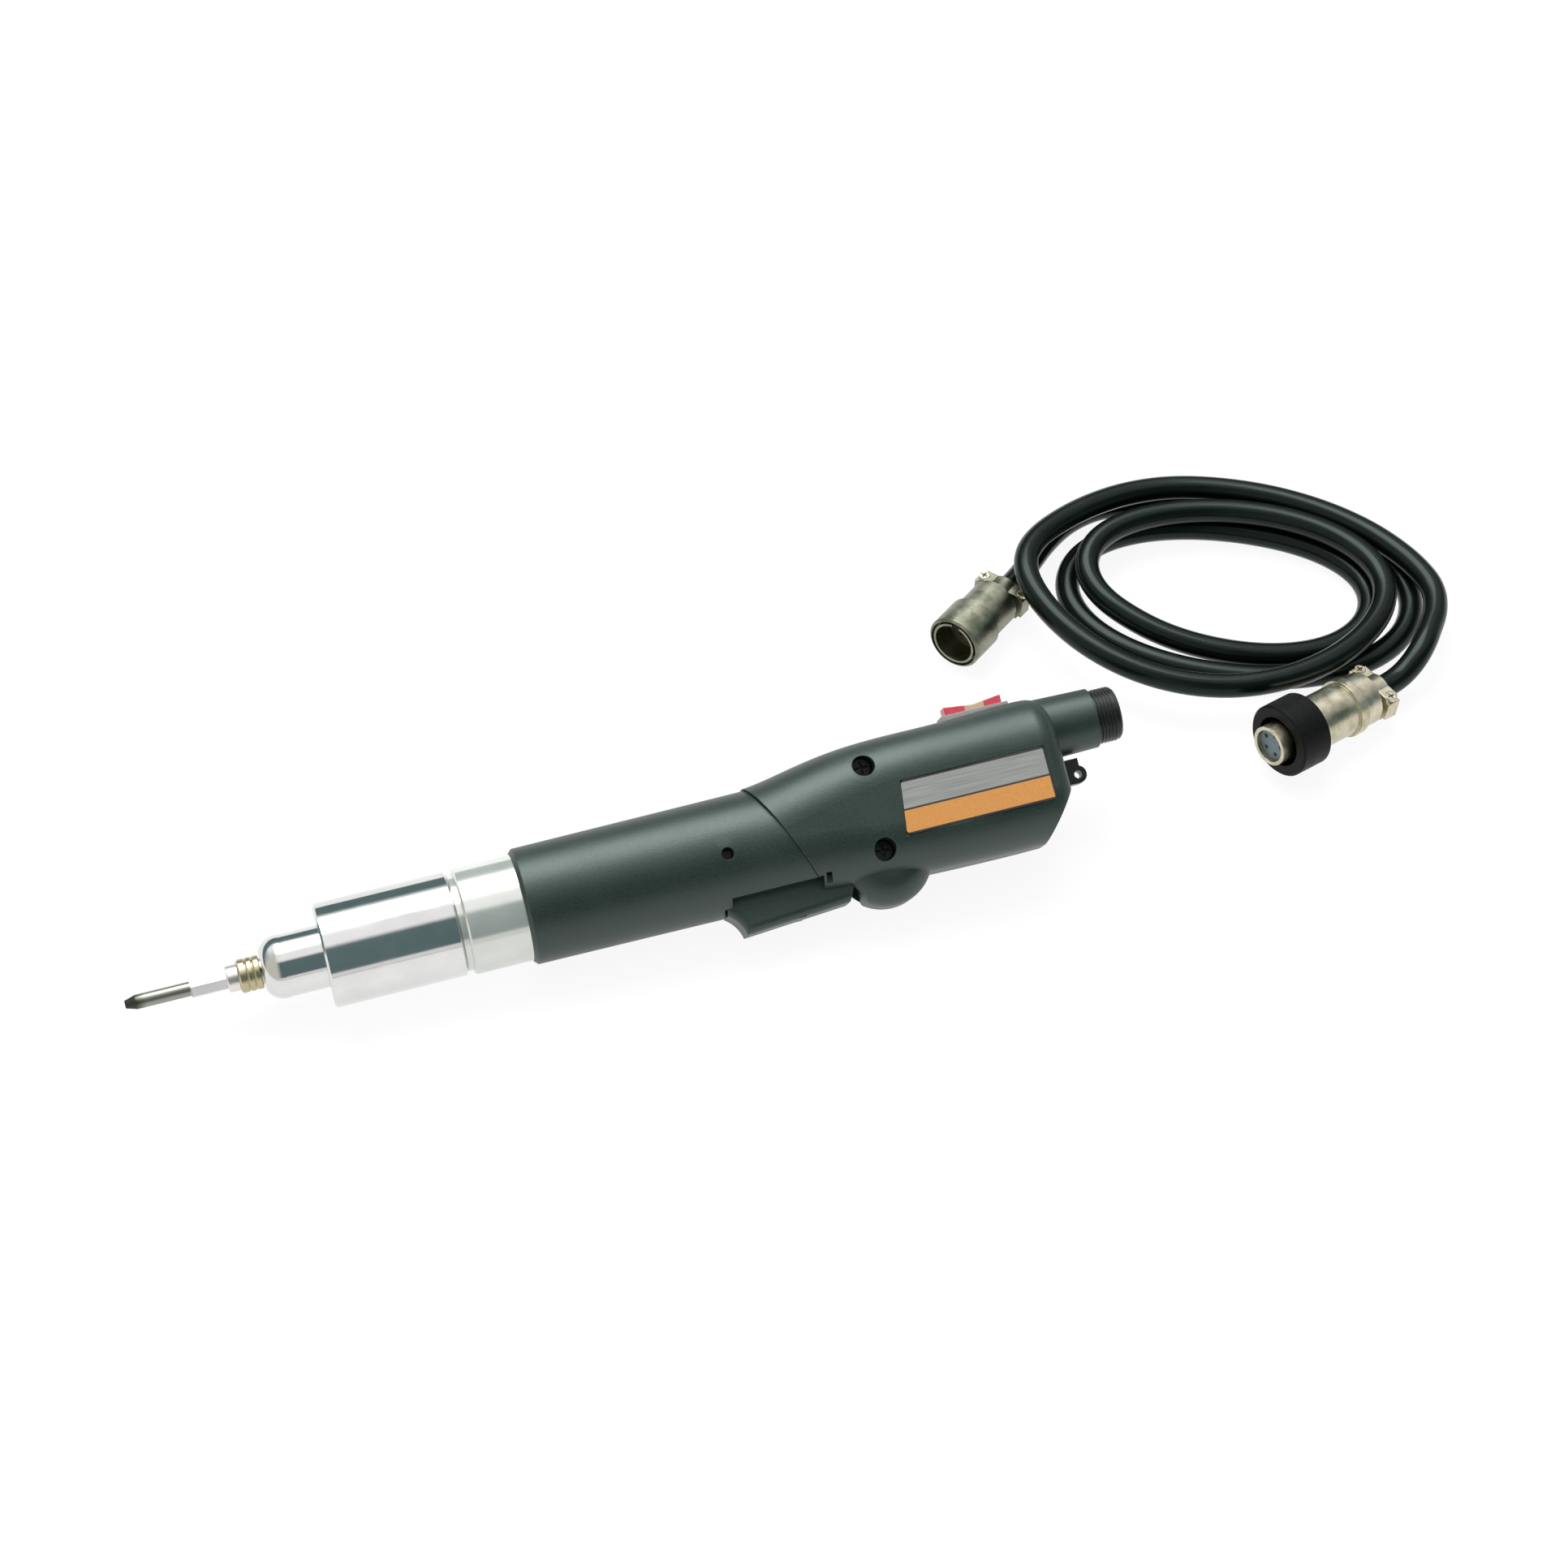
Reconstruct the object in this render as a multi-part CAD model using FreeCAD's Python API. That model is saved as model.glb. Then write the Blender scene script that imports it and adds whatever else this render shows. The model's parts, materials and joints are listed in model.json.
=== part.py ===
import FreeCAD, Part
import math
import os

from FreeCAD import Placement, Rotation, Vector

# An inline electric screwdriver of the kind hung over an assembly line, lying on its side, with its
# detached cable coiled beside it. Millimetres and degrees. The tool is drawn upright: X runs along the
# spindle with the bit towards -X, Z points to the direction switch, -Y is the label side, and x = 0 is
# the front face of the grip. One placement at the end lays it down.

# General fits
overrun = 2.0
running_gap = 0.05
seat_gap = 0.1
swing_gap = 0.35

# Bit and bit holder
bit_across_flats = 5.0
bit_blade_diameter = 4.0
bit_blade_length = 18.0
bit_reach = 28.0
bit_seat_depth = 16.0
bit_tip_length = 3.0
bit_tip_diameter = 2.2
bit_flute_width = 1.5
bit_groove_width = 2.4
bit_ball_diameter = 1.86
spindle_nose_diameter = 7.4
spindle_nose_reach = 2.8
sleeve_diameter = 9.4
sleeve_length = 6.6
sleeve_bevel = 0.9
sleeve_groove_depth = 0.3
sleeve_groove_width = 0.8
sleeve_travel = 2.0
sleeve_pocket_diameter = 8.4
sleeve_wire = 0.4
sleeve_turns = 4
snap_ring_width = 0.6

# Nose, clutch and torque ring
nose_length = 17.0
nose_diameter = 17.4
nose_tip_diameter = 11.4
nose_round_length = 6.5
bush_wall = 2.0
bush_length = 12.0
bush_lip = 1.6
journal_diameter = 8.0
spigot_length = 6.0
torque_ring_length = 37.2
torque_ring_diameter = 29.2
torque_ring_front_wall = 2.4
torque_ring_wall = 2.0
torque_ring_bevel = 0.6
adjuster_length = 5.0
adjuster_pitch = 2.0
adjuster_turns = 2.0
clutch_tube_wall = 2.0
clutch_key_width = 3.0
clutch_key_height = 1.3
clutch_wire_share = 0.48
clutch_turns = 5
clutch_flange_thickness = 2.0
clutch_ball_count = 6
clutch_detent_depth = 0.5
thrust_washer_thickness = 1.8

# Gear housing and planetary gears
coupling_length = 16.5
coupling_diameter = 30.0
coupling_bevel = 0.5
ring_groove_width = 1.8
ring_groove_wall = 2.35
gear_neck_wall = 1.25
gear_neck_reach = 4.6
gear_spigot_length = 12.0
gear_spigot_wall = 1.6
gear_plate_thickness = 2.0
ring_gear_wall = 1.65
gear_pressure_angle = 25.0
gear_addendum_share = 0.8
gear_dedendum_share = 1.0
gear_backlash = 0.08
sun_teeth = 12
planet_teeth = 12
ring_teeth = sun_teeth + 2 * planet_teeth
planet_count = 3
planet_width = 6.5
planet_pin_diameter = 2.0
carrier_thickness = 3.0
carrier_diameter = 15.6
carrier_drive_flats = 6.0

# Motor
motor_rear_room = 3.7
motor_wall = 1.3
motor_front_wall = 1.5
motor_shaft_diameter = 3.2
motor_bearing_diameter = 10.0
motor_bearing_width = 4.0
magnet_thickness = 2.0
magnet_overhang = 2.0
magnet_span = 130.0
air_gap = 0.4
core_length = 24.0
core_slots = 5
core_slot_width = 3.0
core_hub_diameter = 7.0
end_turn_length = 4.0
commutator_diameter = 8.0
commutator_length = 6.0
commutator_segments = 5
commutator_slit = 0.5
brush_width = 4.0
brush_height = 3.0
brush_plate_length = 10.0
brush_plate_wall = 2.0

# Grip barrel
grip_front_diameter = 32.7
grip_taper = 1.0
grip_wall = 2.1
grip_front_round = 1.0
seam_offset = 6.2
seam_top_z = 17.4
seam_slope = 24.0
grip_hole_offset = 3.9
grip_hole_z = -0.85
grip_hole_diameter = 3.5

# Rear housing
housing_rear_margin = 5.7
housing_rear_round = 6.0
housing_wall = 2.2
housing_half_width = 18.2
housing_top = 21.9
housing_bottom = 18.3
corner_cut_length = 9.4
corner_cut_height = 13.0
bump_offset = 11.5
bump_radius = 13.5
bump_depth = 24.8
bump_half_width = 11.0
bump_round = 8.0
screw_offset = 10.3
housing_screw_high_z = 13.9
housing_screw_low_z = -9.9
screw_recess_diameter = 6.2
screw_recess_depth = 9.0
screw_boss_wall = 1.6
screw_diameter = 3.0
screw_head_diameter = 5.5
screw_head_height = 2.4
screw_socket_depth = 1.2
screw_grip_length = 9.0
slit_offset = 4.9
slit_z = -12.6
slit_width = 1.6
slit_height = 4.6
slit_depth = 1.2

# Label plate
label_offset = 6.6
label_length = 43.6
label_low_z = -7.9
label_high_z = 7.2
label_slant = 2.0
label_thickness = 0.7
label_recess = 0.9
label_round = 1.4

# Trigger lever and start switch
lever_front_offset = 6.6
lever_tip_slant = 4.0
lever_tip_z = -23.0
lever_length = 34.0
lever_rear_z = -20.9
lever_half_width = 7.1
lever_wall = 1.6
lever_edge_round = 2.4
lever_skirt_z = -12.6
lever_pivot_offset = 1.1
lever_pivot_z = -12.0
lever_pivot_diameter = 2.6
lever_pivot_boss = 6.4
lever_pin_length = 22.0
lever_travel = 6.0
switch_room = 19.7
switch_length = 22.0
switch_width = 9.0
switch_low_z = -7.6
switch_height = 11.0
switch_arm_length = 5.0
switch_arm_height = 6.0
plunger_offset = 13.0
plunger_diameter = 3.0
plunger_reach = 3.0
plunger_round = 1.2
lever_spring_offset = 5.5
lever_spring_diameter = 5.4
lever_spring_wire = 0.8
lever_spring_turns = 6

# Direction switch
rocker_inset = 18.9
rocker_seat_depth = 0.4
rocker_length = 18.2
rocker_width = 7.0
rocker_wing_angle = 7.0
rocker_thickness = 5.2
rocker_pivot_diameter = 2.4
rocker_end_gap = 0.4
bezel_border = 0.6
bezel_height = 2.1
direction_body_depth = 11.0
terminal_length = 4.0
terminal_width = 2.0
terminal_thickness = 0.6
terminal_count = 3

# Circuit board
board_offset = 3.6
board_length = 36.0
board_low_z = -11.0
board_height = 22.0
board_thickness = 1.6
board_y = 8.0
board_post_diameter = 4.0
board_post_inset = 3.0
relay_length = 14.0
relay_width = 9.0
relay_height = 7.0
capacitor_diameter = 7.0
capacitor_length = 9.0

# Rear connector and hanging eye
connector_z = 13.6
connector_diameter = 15.0
connector_bevel = 0.6
connector_body_diameter = 14.2
connector_bore = 12.4
connector_length = 26.5
connector_reach = 21.0
connector_flange_diameter = 18.0
connector_flange_thickness = 1.6
connector_socket_depth = 11.0
connector_insert_length = 7.0
neck_front_diameter = 17.8
neck_rear_diameter = 17.0
neck_length = 13.8
contact_count = 5
contact_circle = 6.4
contact_diameter = 1.2
contact_reach = 5.0
eye_z = -1.2
eye_outer_diameter = 5.0
eye_hole_diameter = 2.2
eye_thickness = 4.0
eye_offset = 5.5
eye_block_reach = 6.4
eye_block_height = 4.6

# Lying attitude of the tool
roll = -58.0

# Cable
cord_diameter = 7.3
coil_x = 201.5
coil_y = 67.7
coil_heading = -24.0
coil_half_length = 62.0
coil_half_width = 38.0
coil_length_pitch = 12.0
coil_width_pitch = 8.4
coil_turns = 3.319
coil_start = 105.0
coil_swing_length = 8.5
coil_swing_width = 16.5
coil_lift = 5.2
coil_layer_gap = 0.5
coil_steps_per_turn = 8
coil_swing_share = 0.80
coil_swing_reach_share = 0.13
coil_lift_share = 0.835
coil_lift_reach_share = 0.075
coil_probe_share = 0.01
lead_a_run = 7.0
lead_a_corners = 4
lead_a_handle_shares = (0.2, 0.5)
lead_b_run = 5.0
lead_b_corners = 2
lead_b_handle_shares = (0.35, 0.35)
bend_cut_share = 0.45
gap_steps_per_turn = 72

# Cable plugs
plug_neck_diameter = 10.4
plug_neck_length = 4.6
plug_taper_length = 1.6
plug_bevel = 0.6
plug_a_x = 136.1
plug_a_y = 84.6
plug_a_heading = 219.0
plug_a_barrel_diameter = 15.0
plug_a_barrel_length = 11.4
plug_a_sleeve_diameter = 17.0
plug_a_sleeve_length = 11.6
plug_a_cavity_diameter = 12.4
plug_a_cavity_depth = 7.4
plug_a_insert_thickness = 2.0
plug_a_key_width = 2.4
plug_a_groove_diameter = 15.4
plug_a_groove_width = 0.8
plug_a_groove_depth = 3.0
plug_b_x = 228.1
plug_b_y = 16.0
plug_b_heading = 201.0
plug_b_barrel_diameter = 16.0
plug_b_barrel_length = 22.0
plug_b_collar_diameter = 17.6
plug_b_collar_width = 3.0
plug_b_collar_offset = 6.0
plug_b_flange_diameter = 17.0
plug_b_flange_thickness = 1.0
plug_b_ring_diameter = 22.0
plug_b_ring_length = 11.0
plug_b_ring_wall = 2.0
plug_b_ring_bore = 15.2
plug_b_tube_diameter = 12.0
plug_b_tube_bore = 9.8
plug_b_tube_reach = 3.6
plug_b_shoulder_height = 0.9
plug_b_shoulder_width = 1.0
plug_b_insert_recess = 1.5
clamp_length = 4.4
clamp_half_width = 8.4
clamp_half_height = 3.0
clamp_screw_diameter = 2.0
clamp_screw_offset = 6.6
clamp_screw_head_diameter = 3.2
clamp_screw_head_height = 1.4

# Diameters that follow from others
grip_rear_diameter = grip_front_diameter + grip_taper
grip_bore = grip_front_diameter - 2 * grip_wall
torque_ring_bore = torque_ring_diameter - 2 * torque_ring_wall
gear_neck_diameter = torque_ring_bore - 2 * seat_gap
gear_bore = gear_neck_diameter - 2 * gear_neck_wall
ring_groove_diameter = gear_bore + 2 * ring_groove_wall
ring_gear_root_diameter = gear_bore - 2 * (seat_gap + ring_gear_wall)
gear_module = ring_gear_root_diameter / (ring_teeth + 2 * gear_dedendum_share)
clutch_tube_diameter = journal_diameter + 2 * (bush_wall + clutch_tube_wall)
clutch_wire = (torque_ring_bore - clutch_tube_diameter) / 2 * clutch_wire_share
clutch_ball_diameter = (gear_bore - clutch_tube_diameter) / 2 - 2 * seat_gap
ball_circle = (clutch_tube_diameter + gear_bore) / 2

# Stations along the spindle and down the housing, from the grip's front face
axis_x = Vector(1, 0, 0)
axis_y = Vector(0, 1, 0)
axis_z = Vector(0, 0, 1)
centre = Vector(0, 0, 0)
coupling_front_x = -coupling_length
torque_rear_x = coupling_front_x - ring_groove_width
torque_front_x = torque_rear_x - torque_ring_length
nose_front_x = torque_front_x - nose_length
sleeve_rear_x = nose_front_x - swing_gap
sleeve_front_x = sleeve_rear_x - sleeve_length
spindle_front_x = sleeve_front_x - spindle_nose_reach
bit_tip_x = spindle_front_x - bit_reach
sleeve_pocket_depth = sleeve_groove_width + snap_ring_width + sleeve_travel + sleeve_wire * sleeve_turns
bit_groove_x = sleeve_front_x + sleeve_pocket_depth + bit_ball_diameter / 2
clutch_front_x = torque_front_x + torque_ring_front_wall + seat_gap
gear_front_x = torque_rear_x - gear_neck_reach
flange_front_x = gear_front_x - clutch_flange_thickness
adjuster_front_x = clutch_front_x + seat_gap
adjuster_travel = adjuster_pitch * adjuster_turns
ball_x = flange_front_x + clutch_flange_thickness / 2
washer_rear_x = ball_x - clutch_ball_diameter / 2 - seat_gap
ring_gear_front_x = ball_x + clutch_ball_diameter / 2 - clutch_detent_depth + seat_gap
carrier_front_x = ring_gear_front_x + seat_gap
planet_front_x = carrier_front_x + carrier_thickness + seat_gap
planet_rear_x = planet_front_x + planet_width
gear_plate_x = planet_rear_x + swing_gap
motor_front_x = gear_plate_x + gear_plate_thickness
core_front_x = motor_front_x + motor_front_wall + motor_bearing_width + end_turn_length + air_gap
commutator_x = core_front_x + core_length + end_turn_length + air_gap
magnet_length = core_length + 2 * magnet_overhang
motor_rear_x = commutator_x + motor_rear_room
brush_plate_rear_x = motor_rear_x + brush_plate_length
switch_front_x = brush_plate_rear_x + switch_room
grip_hole_x = switch_front_x - grip_hole_offset
plunger_x = switch_front_x + plunger_offset
lever_spring_x = switch_front_x + lever_spring_offset
lever_front_x = switch_front_x - lever_front_offset
lever_tip_x = lever_front_x + lever_tip_slant
lever_rear_x = lever_front_x + lever_length
lever_pivot_x = lever_rear_x + lever_pivot_offset
seam_top_x = switch_front_x + seam_offset
slit_x = lever_rear_x - slit_offset
bump_x = lever_pivot_x + bump_offset
housing_screw_x = lever_pivot_x + screw_offset
label_front_x = housing_screw_x + label_offset
label_rear_x = label_front_x + label_length
board_front_x = label_front_x + board_offset
housing_rear_x = label_rear_x + housing_rear_margin
rocker_x = housing_rear_x - rocker_inset
gear_spigot_diameter = grip_bore - 2 * seat_gap
motor_diameter = gear_spigot_diameter - 2 * gear_spigot_wall - 2 * seat_gap
motor_bore = motor_diameter - 2 * motor_wall
core_diameter = motor_bore - 2 * (seat_gap + magnet_thickness + air_gap)
gear_centre_distance = gear_module * (sun_teeth + planet_teeth) / 2
cord_radius = cord_diameter / 2
plug_barrel_x = plug_neck_length + plug_taper_length


def outline(steps, place):
    """Closed wire through steps: a pair is a straight run, a pair of pairs an arc by way of the first."""
    edges = []
    first = place(*steps[0])
    last = first
    for step in list(steps[1:]) + [steps[0]]:
        if isinstance(step[0], tuple):
            target = place(*step[1])
            edges.append(Part.Arc(last, place(*step[0]), target).toShape())
        else:
            target = place(*step)
            if target.distanceToPoint(last) < Part.Precision.confusion():
                continue
            edges.append(Part.LineSegment(last, target).toShape())
        last = target
    return Part.Wire(edges)


def side_point(x, z):
    return Vector(x, 0, z)


def turned(steps):
    """Solid of revolution about X from an outline of (x, radius) steps."""
    return Part.Face(outline(steps, side_point)).revolve(centre, axis_x, 360)


def rod(front, rear, diameter):
    return Part.makeCylinder(diameter / 2, rear - front, Vector(front, 0, 0), axis_x)


def tube(front, rear, outer, inner):
    return rod(front, rear, outer).cut(rod(front - overrun, rear + overrun, inner))


def box(x, y, z):
    """Block between three (low, high) pairs."""
    return Part.makeBox(x[1] - x[0], y[1] - y[0], z[1] - z[0], Vector(x[0], y[0], z[0]))


def slab(steps, low, high):
    """Side outline of (x, z) steps drawn out along Y from low to high."""
    face = Part.Face(outline(steps, lambda x, z: Vector(x, low, z)))
    return face.extrude(Vector(0, high - low, 0))


def pin(point, direction, length, diameter):
    return Part.makeCylinder(diameter / 2, length, point, direction)


def ring_of(shape, count, point=centre):
    """Copies of a shape turned evenly about the X axis through a point."""
    copies = []
    for index in range(count):
        copy = shape.copy()
        copy.rotate(point, axis_x, 360.0 * index / count)
        copies.append(copy)
    return copies


def hex_rod(front, rear, flats, turn=0):
    corner = flats / math.sqrt(3)
    points = []
    for index in range(7):
        angle = math.radians(60 * index + turn)
        points.append(Vector(front, corner * math.cos(angle), corner * math.sin(angle)))
    return Part.Face(Part.makePolygon(points)).extrude(Vector(rear - front, 0, 0))


def half_arc(start, corner, end):
    """Arc from start to end, tangent to the two equal legs that meet at corner."""
    middle = (start + end) / 2
    leg = (corner - start).Length
    rise = (corner - middle).Length
    half_chord = (end - start).Length / 2
    if rise < Part.Precision.confusion():
        return Part.LineSegment(start, end).toShape()
    height = half_chord * (rise / leg) / (1 + half_chord / leg)
    return Part.Arc(start, middle + (corner - middle).normalize() * height, end).toShape()


def biarc(start, start_way, end, end_way):
    """Two arcs that join two points with the given directions."""
    chord = end - start
    both = start_way + end_way
    bend = 2 * (1 - start_way.dot(end_way))
    along = chord.dot(both)
    if bend < Part.Precision.confusion():
        leg = chord.Length / 4
    else:
        leg = (math.sqrt(along * along + bend * chord.dot(chord)) - along) / bend
    near = start + start_way * leg
    far = end - end_way * leg
    joint = (near + far) / 2
    return [half_arc(start, near, joint), half_arc(joint, far, end)]


def swept(edges, start, way, diameter):
    """Round tube along a chain of edges."""
    section = Part.Wire(Part.Circle(start, way, diameter / 2).toShape())
    return Part.Wire(edges).makePipeShell([section], True, False)


def wound(points, ways, diameter, end_length):
    """Round tube on biarcs through points, with a straight end of end_length at each side."""
    first = points[0] - ways[0] * end_length
    last = points[-1] + ways[-1] * end_length
    edges = [Part.LineSegment(first, points[0]).toShape()]
    for index in range(len(points) - 1):
        edges += biarc(points[index], ways[index], points[index + 1], ways[index + 1])
    edges.append(Part.LineSegment(points[-1], last).toShape())
    return swept(edges, first, ways[0], diameter)


def spring(point, way, across, length, mean_diameter, wire, turns):
    """Coil spring wound about a point and a direction, with its length from outside to outside."""
    side = way.cross(across)
    rise = length - wire
    radius = mean_diameter / 2
    slope = rise / (2 * math.pi * radius * turns)
    points = []
    ways = []
    for index in range(4 * turns + 1):
        angle = math.pi / 2 * index
        out = across * math.cos(angle) + side * math.sin(angle)
        round_way = side * math.cos(angle) - across * math.sin(angle)
        points.append(point + out * radius + way * (wire / 2 + rise * index / (4 * turns)))
        ways.append((round_way + way * slope).normalize())
    edges = []
    for index in range(len(points) - 1):
        edges += biarc(points[index], ways[index], points[index + 1], ways[index + 1])
    return swept(edges, points[0], ways[0], wire)


def involute(angle):
    return math.tan(angle) - angle


def gear_wire(teeth, addendum, dedendum, play, turn, x):
    """Involute gear outline at station x; play thins each tooth, or widens it where it is negative."""
    pitch_radius = gear_module * teeth / 2
    pressure = math.radians(gear_pressure_angle)
    base = pitch_radius * math.cos(pressure)
    tip = pitch_radius + addendum
    root = pitch_radius - dedendum
    half_tooth = math.pi / (2 * teeth) - play / (2 * pitch_radius)
    flank_start = max(base, root)

    def at(radius, angle):
        return Vector(x, radius * math.cos(angle), radius * math.sin(angle))

    def flank_angle(radius):
        return half_tooth + involute(pressure) - involute(math.acos(min(1, base / radius)))

    middle = (flank_start + tip) / 2
    step = 2 * math.pi / teeth
    edges = []
    for index in range(teeth):
        axis = math.radians(turn) + step * index
        corners = []
        for side in (-1, 1):
            corners.append([at(radius, axis + side * flank_angle(radius))
                            for radius in (flank_start, middle, tip)])
        rise, fall = corners
        if root < base:
            foot = at(root, axis - flank_angle(flank_start))
            edges.append(Part.LineSegment(foot, rise[0]).toShape())
        edges.append(Part.Arc(*rise).toShape())
        edges.append(Part.Arc(rise[2], at(tip, axis), fall[2]).toShape())
        edges.append(Part.Arc(*fall[::-1]).toShape())
        low = min(root, flank_start)
        last = fall[0]
        if root < base:
            last = at(root, axis + flank_angle(flank_start))
            edges.append(Part.LineSegment(fall[0], last).toShape())
        following = at(low, axis + step - flank_angle(flank_start))
        edges.append(Part.Arc(last, at(low, axis + step / 2), following).toShape())
    return Part.Wire(edges)


def gear(teeth, front, width, turn, play=gear_backlash):
    addendum = gear_module * gear_addendum_share
    dedendum = gear_module * gear_dedendum_share
    face = Part.Face(gear_wire(teeth, addendum, dedendum, play, turn, front))
    return face.extrude(Vector(width, 0, 0))


def make_bit():
    blade_rear = bit_tip_x + bit_blade_length
    blade = turned([
        (bit_tip_x, 0),
        (bit_tip_x, bit_tip_diameter / 2),
        (bit_tip_x + bit_tip_length, bit_blade_diameter / 2),
        (blade_rear, bit_blade_diameter / 2),
        (blade_rear, 0),
    ])
    flute_reach = bit_blade_diameter / 2
    shift = bit_flute_width / 2
    corner = box((bit_tip_x - overrun, bit_tip_x + bit_tip_length),
                 (shift, flute_reach), (shift, flute_reach))
    corner.rotate(Vector(bit_tip_x, shift, shift), Vector(0, 1, -1), -math.degrees(
        math.atan2(bit_blade_diameter - bit_tip_diameter, 2 * bit_tip_length)))
    shank = hex_rod(blade_rear, spindle_front_x + bit_seat_depth - seat_gap, bit_across_flats)
    groove_diameter = bit_across_flats - bit_ball_diameter + 2 * running_gap + seat_gap
    groove = tube(bit_groove_x - bit_groove_width / 2, bit_groove_x + bit_groove_width / 2,
                  2 * bit_across_flats, groove_diameter)
    return blade.cut(ring_of(corner, 4)).fuse(shank.cut(groove))


def ball_radius_place():
    """Distance of a locking ball's centre from the spindle axis."""
    return spindle_nose_diameter / 2 - bit_ball_diameter / 2


def make_retaining_balls():
    ball = Part.makeSphere(bit_ball_diameter / 2, Vector(bit_groove_x, ball_radius_place(), 0))
    return Part.makeCompound(ring_of(ball, 2))


def make_spindle():
    body = turned([
        (spindle_front_x, 0),
        (spindle_front_x, spindle_nose_diameter / 2 - sleeve_groove_depth),
        (spindle_front_x + sleeve_groove_depth, spindle_nose_diameter / 2),
        (nose_front_x, spindle_nose_diameter / 2),
        (nose_front_x, journal_diameter / 2),
        (carrier_front_x, journal_diameter / 2),
        (carrier_front_x, 0),
    ])
    socket = hex_rod(spindle_front_x - overrun, spindle_front_x + bit_seat_depth,
                     bit_across_flats + 2 * running_gap)
    ball_hole = pin(Vector(bit_groove_x, 0, 0), axis_y, journal_diameter,
                    bit_ball_diameter + 2 * running_gap)
    snap_groove = tube(snap_ring_x(), snap_ring_x() + snap_ring_width, sleeve_diameter,
                       spindle_nose_diameter - 2 * sleeve_groove_depth)
    drive = hex_rod(carrier_front_x - overrun, carrier_front_x + carrier_thickness, carrier_drive_flats)
    return body.cut([socket, snap_groove] + ring_of(ball_hole, 2)).fuse(drive)


def snap_ring_x():
    return sleeve_front_x + sleeve_groove_width


def make_sleeve_snap_ring():
    ring = tube(snap_ring_x() + running_gap, snap_ring_x() + snap_ring_width - running_gap,
                sleeve_pocket_diameter - 2 * seat_gap,
                spindle_nose_diameter - 2 * sleeve_groove_depth + 2 * running_gap)
    opening = box((sleeve_front_x, sleeve_rear_x), (-sleeve_bevel, sleeve_bevel), (0, sleeve_diameter))
    return ring.cut(opening)


def make_bit_sleeve():
    radius = sleeve_diameter / 2
    body = turned([
        (sleeve_front_x, spindle_nose_diameter / 2 + running_gap),
        (sleeve_front_x, radius - sleeve_bevel),
        (sleeve_front_x + sleeve_bevel, radius),
        (sleeve_rear_x - sleeve_groove_depth, radius),
        (sleeve_rear_x, radius - sleeve_groove_depth),
        (sleeve_rear_x, spindle_nose_diameter / 2 + running_gap),
    ])
    pocket = rod(sleeve_front_x - overrun, sleeve_front_x + sleeve_pocket_depth, sleeve_pocket_diameter)
    groove_spacing = (sleeve_length - sleeve_bevel) / 3
    grooves = []
    for index in (1, 2):
        station = sleeve_front_x + sleeve_bevel + index * groove_spacing
        grooves.append(turned([
            (station - sleeve_groove_width / 2, radius + overrun),
            (station - sleeve_groove_width / 2, radius),
            (station, radius - sleeve_groove_depth),
            (station + sleeve_groove_width / 2, radius),
            (station + sleeve_groove_width / 2, radius + overrun),
        ]))
    return body.cut([pocket] + grooves)


def make_sleeve_spring():
    front = snap_ring_x() + snap_ring_width
    rear = sleeve_front_x + sleeve_pocket_depth - running_gap
    mean = (sleeve_pocket_diameter + spindle_nose_diameter) / 2
    return spring(Vector(front, 0, 0), axis_x, axis_y, rear - front, mean, sleeve_wire, sleeve_turns)


def make_nose_cap():
    tip = nose_tip_diameter / 2
    radius = nose_diameter / 2
    shoulder_x = nose_front_x + nose_round_length
    sweep = math.radians(45)
    middle = (shoulder_x - nose_round_length * math.cos(sweep), tip + (radius - tip) * math.sin(sweep))
    bush_radius = journal_diameter / 2 + bush_wall
    bush_front_x = nose_front_x + bush_lip
    bush_rear_x = bush_front_x + bush_length
    clear = journal_diameter / 2 + seat_gap
    return turned([
        (nose_front_x, clear),
        (nose_front_x, tip),
        (middle, (shoulder_x, radius)),
        (clutch_front_x, radius),
        (clutch_front_x, bush_radius - running_gap),
        (clutch_front_x + spigot_length, bush_radius - running_gap),
        (clutch_front_x + spigot_length, clear),
        (bush_rear_x, clear),
        (bush_rear_x, bush_radius),
        (bush_front_x, bush_radius),
        (bush_front_x, clear),
    ])


def make_bush(front):
    return tube(front + running_gap, front + bush_length - running_gap,
                journal_diameter + 2 * (bush_wall - running_gap), journal_diameter + 2 * running_gap)


def make_torque_ring():
    radius = torque_ring_diameter / 2
    bore = torque_ring_bore / 2
    wall_x = torque_front_x + torque_ring_front_wall
    return turned([
        (torque_front_x, nose_diameter / 2 + seat_gap),
        (torque_front_x, radius - torque_ring_bevel),
        (torque_front_x + torque_ring_bevel, radius),
        (torque_rear_x - torque_ring_bevel, radius),
        (torque_rear_x, radius - torque_ring_bevel),
        (torque_rear_x, bore),
        (wall_x, bore),
        (wall_x, nose_diameter / 2 + seat_gap),
    ])


def clutch_keys(front, rear, side_gap):
    """Two keys on the clutch tube that stop the adjuster nut from turning."""
    reach = clutch_tube_diameter / 2 + clutch_key_height + side_gap
    half = clutch_key_width / 2 + side_gap
    return box((front, rear), (-half, half), (-reach, reach))


def rear_bush_x():
    return flange_front_x - bush_lip - bush_length


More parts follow.
